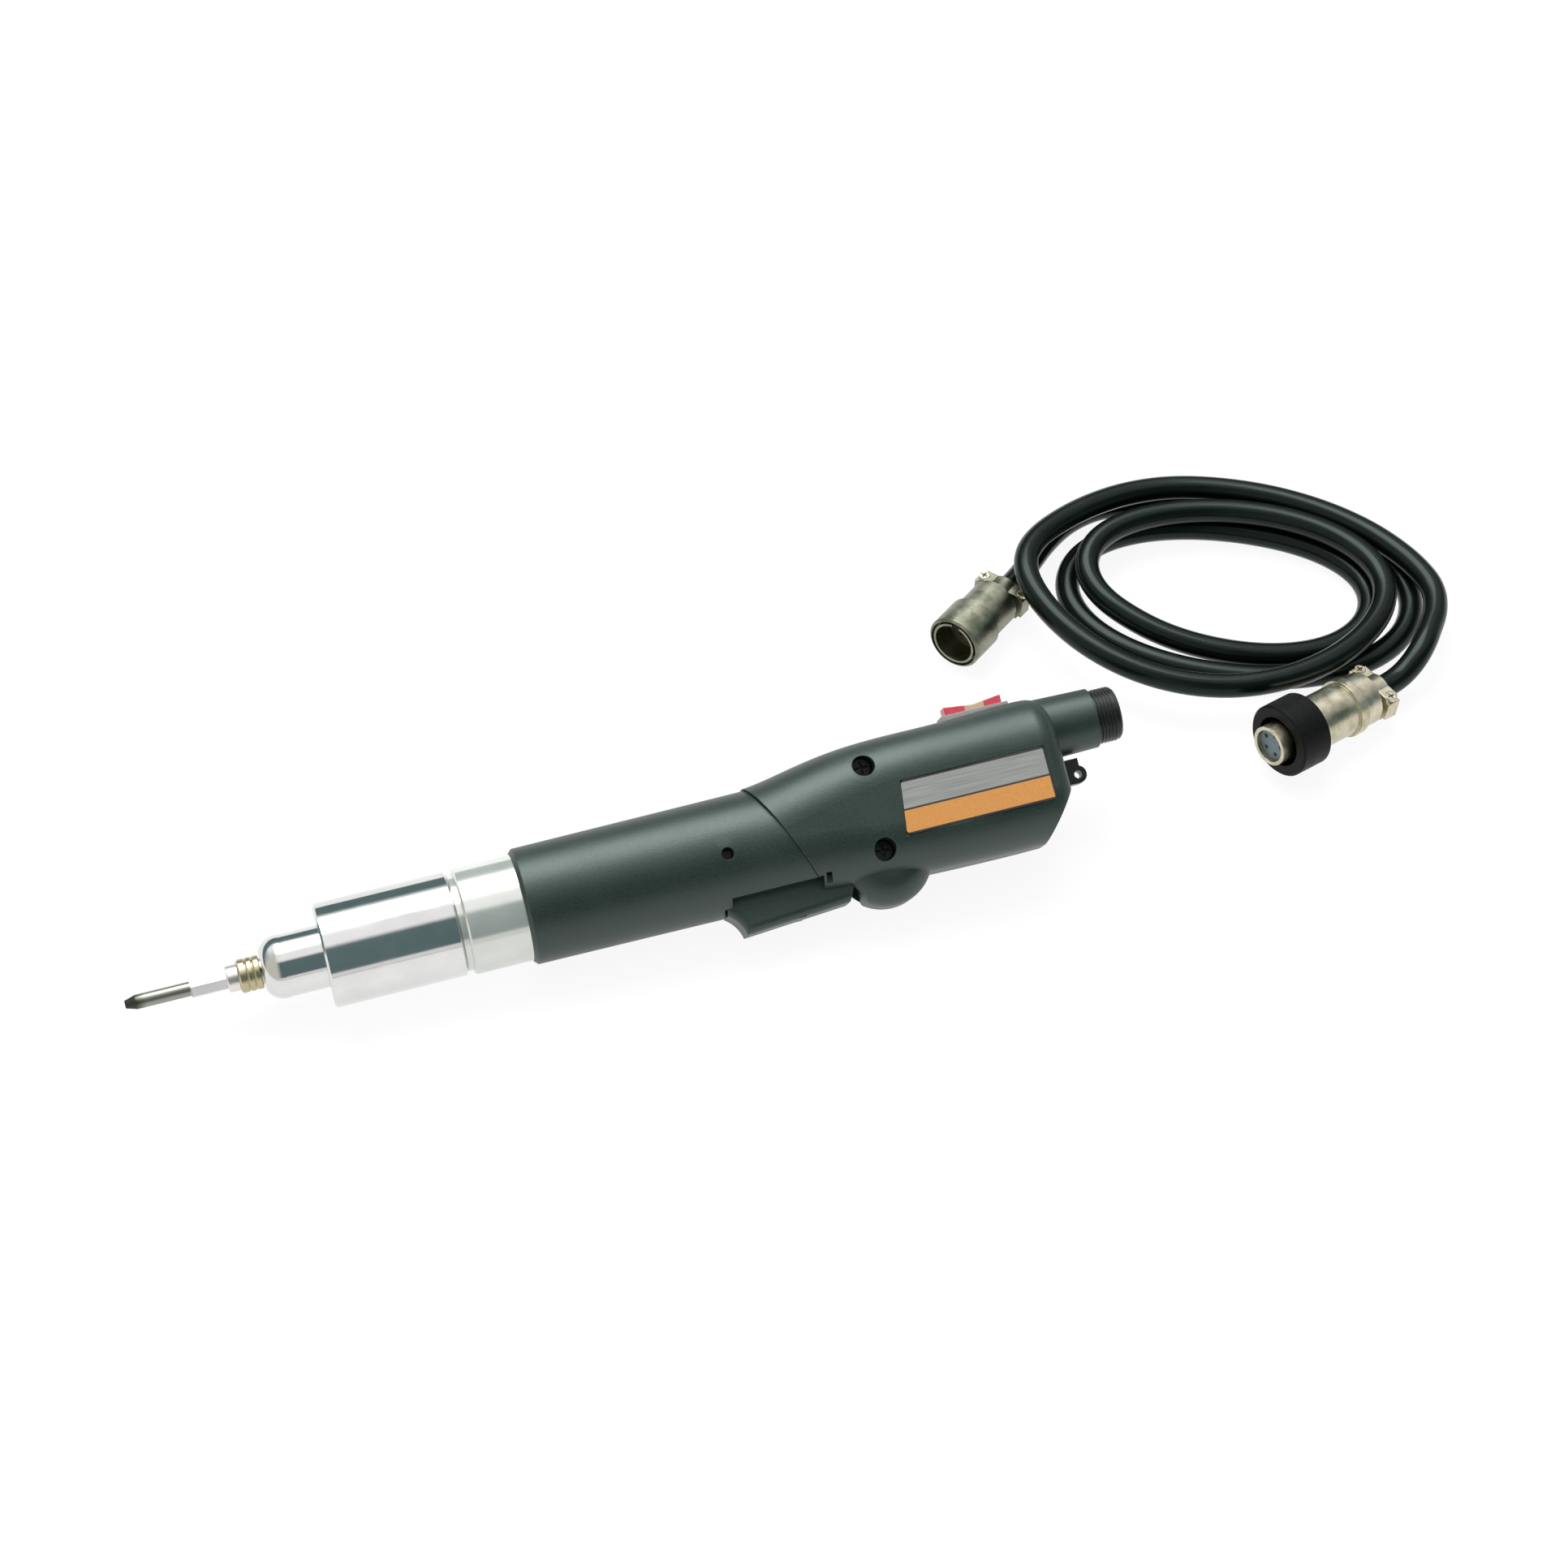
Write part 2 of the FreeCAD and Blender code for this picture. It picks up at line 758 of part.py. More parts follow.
def make_clutch_housing():
    radius = clutch_tube_diameter / 2
    pocket = journal_diameter / 2 + bush_wall
    clear = journal_diameter / 2 + seat_gap
    flange = gear_bore / 2 - seat_gap
    body = turned([
        (clutch_front_x, pocket),
        (clutch_front_x, radius),
        (flange_front_x, radius),
        (flange_front_x, flange),
        (gear_front_x, flange),
        (gear_front_x, clear),
        (rear_bush_x() + bush_length, clear),
        (rear_bush_x() + bush_length, pocket),
        (rear_bush_x(), pocket),
        (rear_bush_x(), clear),
        (clutch_front_x + spigot_length + seat_gap, clear),
        (clutch_front_x + spigot_length + seat_gap, pocket),
    ])
    keys = clutch_keys(clutch_front_x, adjuster_front_x + adjuster_length + adjuster_travel, 0)
    keys = keys.cut(rod(clutch_front_x - overrun, flange_front_x,
                        clutch_tube_diameter - clutch_key_height))
    hole = pin(Vector(flange_front_x - overrun, ball_circle / 2, 0), axis_x,
               clutch_flange_thickness + 2 * overrun, clutch_ball_diameter + 2 * running_gap)
    return body.fuse(keys).cut(ring_of(hole, clutch_ball_count))


def make_adjuster_nut():
    body = tube(adjuster_front_x, adjuster_front_x + adjuster_length,
                torque_ring_bore - 2 * running_gap, clutch_tube_diameter + 2 * seat_gap)
    return body.cut(clutch_keys(adjuster_front_x - overrun,
                                adjuster_front_x + adjuster_length + overrun, seat_gap))


def make_clutch_spring():
    front = adjuster_front_x + adjuster_length + running_gap
    rear = washer_rear_x - thrust_washer_thickness - running_gap
    mean = (torque_ring_bore + clutch_tube_diameter) / 2 + clutch_key_height / 2
    return spring(Vector(front, 0, 0), axis_x, axis_y, rear - front, mean, clutch_wire, clutch_turns)


def make_thrust_washer():
    return tube(washer_rear_x - thrust_washer_thickness, washer_rear_x,
                torque_ring_bore - 4 * seat_gap, clutch_tube_diameter + 2 * seat_gap)


def clutch_balls():
    ball = Part.makeSphere(clutch_ball_diameter / 2, Vector(ball_x, ball_circle / 2, 0))
    return ring_of(ball, clutch_ball_count)


def make_clutch_balls():
    return Part.makeCompound(clutch_balls())


def make_gear_housing():
    neck = gear_neck_diameter / 2
    groove = ring_groove_diameter / 2
    radius = coupling_diameter / 2
    spigot = gear_spigot_diameter / 2
    bore = gear_bore / 2
    sun_clear = gear_module * (sun_teeth / 2 + gear_addendum_share) + swing_gap
    motor_pocket = motor_diameter / 2 + seat_gap
    return turned([
        (flange_front_x, bore),
        (flange_front_x, neck),
        (torque_rear_x + seat_gap, neck),
        (torque_rear_x + seat_gap, groove),
        (coupling_front_x, groove),
        (coupling_front_x, radius - coupling_bevel),
        (coupling_front_x + coupling_bevel, radius),
        (0, radius),
        (0, spigot),
        (gear_spigot_length, spigot),
        (gear_spigot_length, motor_pocket),
        (motor_front_x, motor_pocket),
        (motor_front_x, sun_clear),
        (gear_plate_x, sun_clear),
        (gear_plate_x, bore),
    ])


def make_ring_gear():
    root = gear_module * gear_dedendum_share
    tip = gear_module * gear_addendum_share
    body = rod(ring_gear_front_x, planet_rear_x, gear_bore - 2 * seat_gap)
    teeth_front_x = planet_front_x - seat_gap
    space = Part.Face(gear_wire(ring_teeth, root, tip, -gear_backlash, 180.0 / ring_teeth, teeth_front_x))
    space = space.extrude(Vector(planet_rear_x - teeth_front_x, 0, 0))
    carrier_room = rod(ring_gear_front_x, planet_front_x, carrier_diameter + 2 * seat_gap)
    dimples = [Part.makeSphere(ball.BoundBox.XLength / 2 + seat_gap, ball.CenterOfMass)
               for ball in clutch_balls()]
    return body.cut([space, carrier_room] + dimples)


def make_planet_carrier():
    plate = rod(carrier_front_x, carrier_front_x + carrier_thickness, carrier_diameter)
    bore = hex_rod(carrier_front_x - overrun, carrier_front_x + carrier_thickness + overrun,
                   carrier_drive_flats + 2 * running_gap)
    planet_pin = pin(Vector(carrier_front_x, gear_centre_distance, 0), axis_x,
                     planet_rear_x - carrier_front_x, planet_pin_diameter)
    return plate.cut(bore).fuse(ring_of(planet_pin, planet_count))


def make_planet_gear(index):
    blank = gear(planet_teeth, planet_front_x, planet_width, 180.0 / planet_teeth)
    blank = blank.cut(rod(planet_front_x - overrun, planet_rear_x + overrun,
                          planet_pin_diameter + 2 * running_gap))
    blank.translate(Vector(0, gear_centre_distance, 0))
    blank.rotate(centre, axis_x, 360.0 * index / planet_count)
    return blank


def make_sun_pinion():
    blank = gear(sun_teeth, planet_front_x, planet_width, 0)
    return blank.cut(rod(planet_front_x - overrun, planet_rear_x + overrun,
                         motor_shaft_diameter + 2 * running_gap))


def make_motor_can():
    radius = motor_diameter / 2
    cup_inner = motor_bearing_diameter / 2 + running_gap
    cup_outer = cup_inner + motor_front_wall
    wall_x = motor_front_x + motor_front_wall
    return turned([
        (motor_front_x, motor_shaft_diameter),
        (motor_front_x, radius),
        (motor_rear_x, radius),
        (motor_rear_x, motor_bore / 2),
        (wall_x, motor_bore / 2),
        (wall_x, cup_outer),
        (wall_x + motor_bearing_width, cup_outer),
        (wall_x + motor_bearing_width, cup_inner),
        (wall_x, cup_inner),
        (wall_x, motor_shaft_diameter),
    ])


def make_motor_magnets():
    middle = core_front_x + core_length / 2
    outer = motor_bore - 2 * running_gap
    shell = tube(middle - magnet_length / 2, middle + magnet_length / 2,
                 outer, outer - 2 * magnet_thickness)
    half = math.radians(magnet_span / 2)
    reach = motor_diameter
    wedge = Part.makePolygon([
        Vector(middle - magnet_length, 0, 0),
        Vector(middle - magnet_length, reach * math.sin(half), reach * math.cos(half)),
        Vector(middle - magnet_length, 0, 2 * reach),
        Vector(middle - magnet_length, -reach * math.sin(half), reach * math.cos(half)),
        Vector(middle - magnet_length, 0, 0),
    ])
    wedge = Part.Face(wedge).extrude(Vector(2 * magnet_length, 0, 0))
    return Part.makeCompound(ring_of(shell.common(wedge), 2))


def slot_bar(front, rear, outer_diameter, width):
    """Radial bar that fills one armature slot."""
    return box((front, rear), (-width / 2, width / 2), (core_hub_diameter / 2, outer_diameter / 2))


def make_armature_core():
    front = core_front_x
    core = tube(front, front + core_length, core_diameter, motor_shaft_diameter + 2 * running_gap)
    bar = slot_bar(front - overrun, front + core_length + overrun,
                   core_diameter + 2 * overrun, core_slot_width)
    return core.cut(ring_of(bar, core_slots))


def make_armature_winding():
    front = core_front_x
    rear = front + core_length
    outer = core_diameter - 2 * air_gap
    bar = slot_bar(front - end_turn_length, rear + end_turn_length, outer, core_slot_width - 2 * seat_gap)
    lift = core_hub_diameter + 2 * seat_gap
    trim = rod(front - end_turn_length - overrun, rear + end_turn_length + overrun, lift)
    winding = ring_of(bar.cut(trim), core_slots)
    for start in (front - end_turn_length, rear + seat_gap):
        winding.append(tube(start, start + end_turn_length - seat_gap, outer - 2 * air_gap, lift))
    return winding[0].fuse(winding[1:])


def make_motor_shaft():
    return rod(planet_front_x, brush_plate_rear_x, motor_shaft_diameter)


def make_commutator():
    front = commutator_x
    drum = tube(front, front + commutator_length,
                commutator_diameter, motor_shaft_diameter + 2 * running_gap)
    slit = box((front - overrun, front + commutator_length + overrun),
               (-commutator_slit / 2, commutator_slit / 2),
               (commutator_diameter / 2 - commutator_slit, commutator_diameter))
    return drum.cut(ring_of(slit, commutator_segments))


def brush_plate_bore():
    return motor_diameter - 2 * brush_plate_wall


def make_carbon_brushes():
    middle = commutator_x + commutator_length / 2
    inner = commutator_diameter / 2 + seat_gap
    brush = box((middle - brush_width / 2, middle + brush_width / 2),
                (inner, brush_plate_bore() / 2 - seat_gap),
                (-brush_height / 2, brush_height / 2))
    brush = brush.cut(rod(middle - brush_width, middle + brush_width, commutator_diameter + 2 * seat_gap))
    return Part.makeCompound(ring_of(brush, 2))


def rear_bearing_x():
    return brush_plate_rear_x - motor_bearing_width


def make_brush_plate():
    radius = motor_diameter / 2
    seat = motor_bearing_diameter / 2 + running_gap
    flange = grip_bore / 2 - seat_gap
    cup = turned([
        (motor_rear_x, brush_plate_bore() / 2),
        (motor_rear_x, radius),
        (rear_bearing_x(), radius),
        (rear_bearing_x(), flange),
        (brush_plate_rear_x, flange),
        (brush_plate_rear_x, seat),
        (rear_bearing_x(), seat),
        (rear_bearing_x(), brush_plate_bore() / 2),
    ])
    return cup


def make_motor_bearings():
    bearings = []
    for front in (motor_front_x + motor_front_wall, rear_bearing_x()):
        bearings.append(tube(front, front + motor_bearing_width, motor_bearing_diameter,
                             motor_shaft_diameter + 2 * running_gap))
    return Part.makeCompound(bearings)


def seam_x(z):
    return seam_top_x + (seam_top_z - z) * math.tan(math.radians(seam_slope))


def seam_block(behind):
    """Large block in front of the slanting seam, or behind it."""
    low = -2 * housing_top
    high = 2 * housing_top
    far = housing_rear_x + neck_length + overrun if behind else -overrun
    return slab([(seam_x(low), low), (seam_x(high), high), (far, high), (far, low)], low, high)


def grip_radius(x):
    share = x / seam_x(-seam_top_z)
    return (grip_front_diameter + (grip_rear_diameter - grip_front_diameter) * share) / 2


def lever_pocket():
    """Room for the lever in the grip and the housing, with the skirts cut level beside it."""
    half = lever_half_width + seat_gap + running_gap
    low = 2 * lever_tip_z
    slot = box((lever_front_x - 2 * swing_gap, lever_pivot_x + lever_pivot_boss / 2 + swing_gap),
               (-half, half),
               (low, lever_pivot_z + lever_pivot_boss))
    skirt = box((lever_front_x + lever_wall, lever_rear_x - lever_pivot_boss),
                (-housing_top, housing_top),
                (low, lever_skirt_z))
    return [slot, skirt]


def make_front_grip():
    rear_x = seam_x(-2 * seam_top_z)
    shell = turned([
        (0, grip_bore / 2),
        (0, grip_radius(0) - grip_front_round),
        (grip_front_round, grip_radius(grip_front_round)),
        (rear_x, grip_radius(rear_x)),
        (rear_x, grip_bore / 2),
    ])
    screw_hole = pin(Vector(grip_hole_x, 0, grip_hole_z), -axis_y, grip_rear_diameter, grip_hole_diameter)
    return shell.common(seam_block(False)).cut(lever_pocket() + [screw_hole])


def rounded_section(x, half_width, top, bottom, radius):
    """Section of the housing square to X: four straight sides and four round corners."""
    bite = radius * (1 - math.sqrt(0.5))
    right = half_width
    wide = half_width - radius
    steps = [
        (wide, -bottom),
        ((right - bite, -bottom + bite), (right, -bottom + radius)),
        (right, top - radius),
        ((right - bite, top - bite), (wide, top)),
        (-wide, top),
        ((-right + bite, top - bite), (-right, top - radius)),
        (-right, -bottom + radius),
        ((-right + bite, -bottom + bite), (-wide, -bottom)),
    ]
    return outline(steps, lambda y, z: Vector(x, y, z))


# Stations of the housing along X, the shares of its width, top and bottom there, and its corner radii
# as shares of the least of these
housing_station_shares = (0.406, 0.541, 0.604, 0.662, 0.80, 1.0)
housing_width_shares = (0.935, 0.955, 0.97, 0.985, 1.0, 0.985)
housing_top_shares = (0.781, 0.914, 0.975, 0.998, 1.0, 0.99)
housing_bottom_shares = (0.93, 0.94, 0.96, 0.975, 1.0, 0.97)
housing_round_shares = (0.9625, 0.907, 0.85, 0.787, 0.714, 0.703)


def housing_sizes(index):
    """Half width, top, bottom and corner radius of the housing at a station."""
    width = housing_half_width * housing_width_shares[index]
    top = housing_top * housing_top_shares[index]
    bottom = housing_bottom * housing_bottom_shares[index]
    return width, top, bottom, min(width, top, bottom) * housing_round_shares[index]


def housing_loft(inset):
    """Housing body, inset by a wall thickness where it is the hollow."""
    sections = []
    for index, station in enumerate(housing_station_shares):
        x = housing_rear_x * station
        if station == housing_station_shares[-1]:
            x -= inset
        sections.append(rounded_section(x, *(size - inset for size in housing_sizes(index))))
    body = Part.makeLoft(sections, True, False)
    rear = [edge for edge in body.Edges if edge.BoundBox.XMin > x - overrun]
    body = body.makeFillet(housing_rear_round - inset, rear)
    return body.cut(corner_wedge(inset))


def corner_slope():
    return math.atan2(corner_cut_height, corner_cut_length)


def corner_wedge(inset):
    """What the slanting lower rear corner takes off."""
    front = housing_rear_x - corner_cut_length - inset / math.sin(corner_slope())
    low = -housing_bottom
    far = housing_rear_x + overrun
    high = low + (far - front) * math.tan(corner_slope())
    steps = [(front, low), (far, high), (far, 2 * low), (front, 2 * low)]
    return slab(steps, -housing_top, housing_top)


def make_bump():
    centre_z = bump_radius - bump_depth
    barrel = pin(Vector(bump_x, -bump_half_width, centre_z), axis_y, 2 * bump_half_width, 2 * bump_radius)
    rims = [edge for edge in barrel.Edges if edge.Closed]
    return barrel.makeFillet(bump_round, rims)


def screw_places():
    return [(housing_screw_x, housing_screw_high_z), (housing_screw_x, housing_screw_low_z)]


def screw_seat_y():
    return -screw_recess_depth


def housing_shell():
    """Both halves of the rear housing as one hollow body."""
    outer = housing_loft(0)
    neck_front = neck_front_diameter / 2
    neck_rear = neck_rear_diameter / 2
    neck = Part.makeCone(neck_front, neck_rear, neck_length + housing_wall,
                         Vector(housing_rear_x - housing_wall, 0, connector_z), axis_x)
    outer = outer.fuse([neck, make_bump()])
    inner = housing_loft(housing_wall)
    shell = outer.cut(inner)
    bosses = []
    for x, z in screw_places():
        boss = pin(Vector(x, -housing_half_width, z), axis_y, 2 * housing_half_width,
                   screw_recess_diameter + 2 * screw_boss_wall)
        bosses.append(boss.common(outer))
    for x, z in board_posts():
        post = pin(Vector(x, board_y + board_thickness, z), axis_y,
                   housing_half_width, board_post_diameter)
        bosses.append(post.common(outer))
    shell = shell.fuse(bosses)
    connector_hole = pin(Vector(housing_rear_x - connector_length, 0, connector_z), axis_x,
                         2 * connector_length, connector_body_diameter + 2 * running_gap)
    flange_x = housing_rear_x - housing_wall - connector_flange_thickness
    flange_room = pin(Vector(flange_x, 0, connector_z), axis_x,
                      connector_flange_thickness, connector_flange_diameter + 2 * seat_gap)
    cuts = lever_pocket() + [connector_hole, flange_room, label_recess_block(), slit_block()]
    pivot_hole = pin(Vector(lever_pivot_x, -lever_pin_length / 2 - seat_gap, lever_pivot_z), axis_y,
                     lever_pin_length + 2 * seat_gap, lever_pivot_diameter + 2 * running_gap)
    cuts.append(pivot_hole)
    cuts += direction_cuts()
    for x, z in screw_places():
        cuts.append(pin(Vector(x, screw_seat_y(), z), -axis_y, housing_half_width, screw_recess_diameter))
        cuts.append(pin(Vector(x, screw_seat_y() - overrun, z), axis_y,
                        screw_recess_depth + screw_grip_length + overrun + seat_gap,
                        screw_diameter + 2 * running_gap))
    return shell.common(seam_block(True)).cut(cuts)


def half_space(sign):
    far = 2 * housing_half_width * sign
    reach = (-coupling_length, 2 * housing_rear_x)
    return box(reach, (min(0, far), max(0, far)), (-2 * housing_top, 2 * housing_top))


def label_outline(margin):
    return [
        (label_front_x - margin, label_low_z - margin),
        (label_rear_x + margin, label_low_z - margin),
        (label_rear_x + margin, label_high_z + margin),
        (label_front_x + label_slant - margin, label_high_z + margin),
    ]


def label_floor_y():
    return -housing_half_width + label_recess


def label_recess_block():
    return slab(label_outline(seat_gap), -housing_half_width - overrun, label_floor_y())


def make_label_plate():
    plate = slab(label_outline(0), label_floor_y() - label_thickness, label_floor_y())
    corners = []
    for edge in plate.Edges:
        if abs(edge.tangentAt(edge.FirstParameter).y) > math.sqrt(0.5):
            corners.append(edge)
    return plate.makeFillet(label_round, corners)


def slit_block():
    surface = math.sqrt(grip_radius(slit_x) ** 2 - slit_z ** 2)
    return box((slit_x - slit_width / 2, slit_x + slit_width / 2),
               (-surface - overrun, -surface + slit_depth),
               (slit_z - slit_height / 2, slit_z + slit_height / 2))


def screw(point, way, length, diameter, head_diameter, head_height):
    """Screw with a cross slot; point is under its head and way runs down its shank."""
    shank = pin(point, way, length, diameter)
    head = pin(point, way * -1, head_height, head_diameter)
    shape = head.fuse(shank)
    slot_width = head_height / 3
    reach = head_diameter / 3
    top = head_height - screw_socket_depth
    for turn in (0, 90):
        slot = box((-slot_width / 2, slot_width / 2), (-reach, reach),
                   (top, top + 2 * screw_socket_depth))
        slot.rotate(centre, axis_z, turn)
        slot.Placement = Placement(point, Rotation(axis_z, way * -1)).multiply(slot.Placement)
        shape = shape.cut(slot)
    return shape


def make_housing_screws():
    screws = []
    for x, z in screw_places():
        screws.append(screw(Vector(x, screw_seat_y(), z), axis_y, screw_recess_depth + screw_grip_length,
                            screw_diameter, screw_head_diameter, screw_head_height))
    arm_y = switch_arm_y()
    screws.append(pin(Vector(grip_hole_x, arm_y, grip_hole_z), axis_y, switch_arm_length,
                      grip_hole_diameter - 4 * seat_gap))
    return Part.makeCompound(screws)


def switch_arm_y():
    reach = abs(grip_hole_z) + switch_arm_height / 2
    return -math.sqrt((grip_bore / 2) ** 2 - reach ** 2) + seat_gap


def make_start_switch():
    rear = switch_front_x + switch_length
    half = switch_width / 2
    body = box((switch_front_x, rear), (-half, half), (switch_low_z, switch_low_z + switch_height))
    arm_half = switch_arm_height / 2
    arm = box((grip_hole_x - arm_half, switch_front_x + arm_half), (switch_arm_y(), half),
              (grip_hole_z - arm_half, grip_hole_z + arm_half))
    hole = pin(Vector(grip_hole_x, switch_arm_y() - overrun, grip_hole_z), axis_y,
               switch_arm_length + overrun + seat_gap,
               grip_hole_diameter - 4 * seat_gap + 2 * running_gap)
    plunger_hole = pin(Vector(plunger_x, 0, switch_low_z - overrun), axis_z,
                       plunger_depth() + overrun, plunger_diameter + 2 * running_gap)
    tabs = []
    for index in range(terminal_count):
        x = switch_front_x + switch_length * (index + 1) / (terminal_count + 1)
        tabs.append(box((x - terminal_width / 2, x + terminal_width / 2),
                        (-terminal_thickness / 2, terminal_thickness / 2),
                        (switch_low_z + switch_height, switch_low_z + switch_height + terminal_length)))
    return body.fuse([arm] + tabs).cut([hole, plunger_hole])


def plunger_depth():
    return plunger_reach + lever_stroke(plunger_x) + seat_gap


def lever_stroke(x):
    """How far the lever lifts at station x over its travel."""
    return (lever_pivot_x - x) * math.radians(lever_travel)


def make_switch_plunger():
    length = plunger_reach + plunger_depth() - lever_stroke(plunger_x) - seat_gap
    low = switch_low_z - plunger_reach
    body = pin(Vector(plunger_x, 0, low), axis_z, length, plunger_diameter)
    rim = [edge for edge in body.Edges if edge.Closed and edge.CenterOfMass.z < low + seat_gap]
    return body.makeFillet(plunger_round, rim)


def lever_floor_z(x):
    """Underside of the lever at station x."""
    share = (x - lever_tip_x) / (lever_rear_x - lever_tip_x)
    return lever_tip_z + (lever_rear_z - lever_tip_z) * share


def lever_outline(inset):
    """Side outline of the lever, or of its hollow where inset by the wall."""
    top = lever_skirt_z + lever_wall
    nose_z = -grip_radius(lever_front_x)
    tip = (lever_tip_x + inset, lever_floor_z(lever_tip_x + inset) + inset)
    nose = (lever_front_x + inset, nose_z + inset)
    bow = ((nose[0] + tip[0]) / 2 + inset / 2 + lever_wall / 3, (nose[1] + tip[1]) / 2 + lever_wall / 3)
    boss = lever_pivot_boss / 2
    heel = (lever_rear_x - inset, lever_rear_z + inset)
    back = (lever_pivot_x + boss - inset, lever_pivot_z)
    lid = top + inset * 2
    steps = [(nose[0], lid), nose, (bow, tip), heel, back]
    if inset:
        return steps + [(back[0], lid)]
    crown = (lever_pivot_x, lever_pivot_z + boss)
    over = (lever_pivot_x + boss * math.sqrt(0.5), lever_pivot_z + boss * math.sqrt(0.5))
    return steps + [(over, crown), (lever_pivot_x - boss, top)]


def make_trigger_lever():
    body = slab(lever_outline(0), -lever_half_width, lever_half_width)
    keel = [edge for edge in body.Edges
            if abs(abs(edge.CenterOfMass.y) - lever_half_width) < seat_gap
            and edge.CenterOfMass.z < lever_rear_z + lever_wall and edge.Length > lever_pivot_boss]
    body = body.makeFillet(lever_edge_round, keel)
    inner = lever_half_width - lever_wall
    body = body.cut(slab(lever_outline(lever_wall), -inner, inner))
    rib_top = switch_low_z - plunger_reach - seat_gap
    rib = box((plunger_x - lever_wall, plunger_x + lever_wall), (-inner, inner),
              (lever_floor_z(plunger_x), rib_top))
    seat = pin(Vector(lever_spring_x, 0, lever_floor_z(lever_spring_x) + lever_wall / 2), axis_z,
               2 * lever_wall, lever_spring_diameter - 2 * lever_spring_wire - 2 * seat_gap)
    bore = pin(Vector(lever_pivot_x, -housing_half_width, lever_pivot_z), axis_y, 2 * housing_half_width,
               lever_pivot_diameter + 2 * running_gap)
    return body.fuse([rib, seat]).cut(bore)


def make_lever_pivot_pin():
    return pin(Vector(lever_pivot_x, -lever_pin_length / 2, lever_pivot_z), axis_y, lever_pin_length,
               lever_pivot_diameter)


def make_lever_spring():
    low = lever_floor_z(lever_spring_x + lever_spring_diameter) + lever_wall + seat_gap
    length = switch_low_z - seat_gap - low
    return spring(Vector(lever_spring_x, 0, low), axis_z, axis_x, length,
                  lever_spring_diameter - lever_spring_wire, lever_spring_wire, lever_spring_turns)


def direction_place():
    """Seat of the direction switch on the top of the housing."""
    return Placement(Vector(rocker_x, 0, housing_top - rocker_seat_depth), Rotation())


def bezel_length():
    return rocker_length + 2 * bezel_border


def bezel_width():
    return rocker_width + 2 * bezel_border


def centred_box(length, width, low, high):
    return box((-length / 2, length / 2), (-width / 2, width / 2), (low, high))


def direction_cuts():
    recess = centred_box(bezel_length() + 2 * seat_gap, bezel_width() + 2 * seat_gap, 0, housing_top)
    hole = centred_box(rocker_length + 2 * seat_gap, rocker_width + 2 * seat_gap,
                       -2 * direction_body_depth, overrun)
    cuts = [recess, hole]
    for cut in cuts:
        cut.Placement = direction_place()
    return cuts


def rocker_pivot_z():
    return bezel_height - rocker_pivot_diameter / 2


def make_direction_switch():
    flange = centred_box(bezel_length(), bezel_width(), 0, bezel_height)
    body = centred_box(rocker_length, rocker_width, -direction_body_depth, bezel_height)
    shape = flange.fuse(body)
    well_depth = rocker_length / 2 * math.tan(math.radians(2 * rocker_wing_angle)) + rocker_thickness
    shape = shape.cut(centred_box(rocker_length - 2 * rocker_end_gap, rocker_width - 2 * rocker_end_gap,
                                  bezel_height - well_depth, bezel_height + overrun))
    journal = pin(Vector(0, -rocker_width / 2, rocker_pivot_z()), axis_y, rocker_width,
                  rocker_pivot_diameter + 2 * running_gap)
    shape = shape.cut(journal)
    tabs = []
    for index in range(terminal_count):
        x = rocker_length * ((index + 1) / (terminal_count + 1) - 1 / 2)
        tabs.append(box((x - terminal_thickness / 2, x + terminal_thickness / 2),
                        (-terminal_width / 2, terminal_width / 2),
                        (-direction_body_depth - terminal_length, -direction_body_depth)))
    shape = shape.fuse(tabs)
    shape.Placement = direction_place()
    return shape


def make_direction_rocker():
    """Two wings that meet over the pivot at a shallow angle, level in the middle position."""
    half = rocker_length / 2 - 2 * rocker_end_gap
    low = rocker_pivot_z() - rocker_thickness / 2
    rise = half * math.tan(math.radians(rocker_wing_angle))
    steps = [
        (-half, low + rise / 2),
        (0, low),
        (half, low + rise / 2),
        (half, low + rise + rocker_thickness),
        (0, low + rocker_thickness),
        (-half, low + rise + rocker_thickness),
    ]
    width = rocker_width - 4 * rocker_end_gap
    wings = slab(steps, -width / 2, width / 2)
    stub = rocker_width - 2 * running_gap
    pivot = pin(Vector(0, -stub / 2, rocker_pivot_z()), axis_y, stub, rocker_pivot_diameter)
    shape = wings.fuse(pivot)
    shape.Placement = direction_place().multiply(shape.Placement)
    return shape


def board_posts():
    rear = board_front_x + board_length
    places = []
    for x in (board_front_x + board_post_inset, rear - board_post_inset):
        for z in (board_low_z + board_post_inset, board_low_z + board_height - board_post_inset):
            places.append((x, z))
    return places


def make_circuit_board():
    rear = board_front_x + board_length
    sheet = box((board_front_x, rear), (board_y, board_y + board_thickness),
                (board_low_z, board_low_z + board_height))
    relay_x = board_front_x + 2 * board_post_inset
    relay = box((relay_x, relay_x + relay_length), (board_y - relay_height, board_y),
                (board_low_z + board_post_inset, board_low_z + board_post_inset + relay_width))
    cans = []
    for index in (1, 2):
        x = rear - board_post_inset - index * (capacitor_diameter + 2 * seat_gap)
        cans.append(pin(Vector(x, board_y, board_low_z + board_height / 3), -axis_y, capacitor_length,
                        capacitor_diameter))
    return sheet.fuse([relay] + cans)


def connector_rear_x():
    return housing_rear_x + connector_reach


def connector_turned(steps):
    shape = turned(steps)
    shape.translate(Vector(0, 0, connector_z))
    return shape


def connector_thread_x():
    return housing_rear_x + neck_length + seat_gap


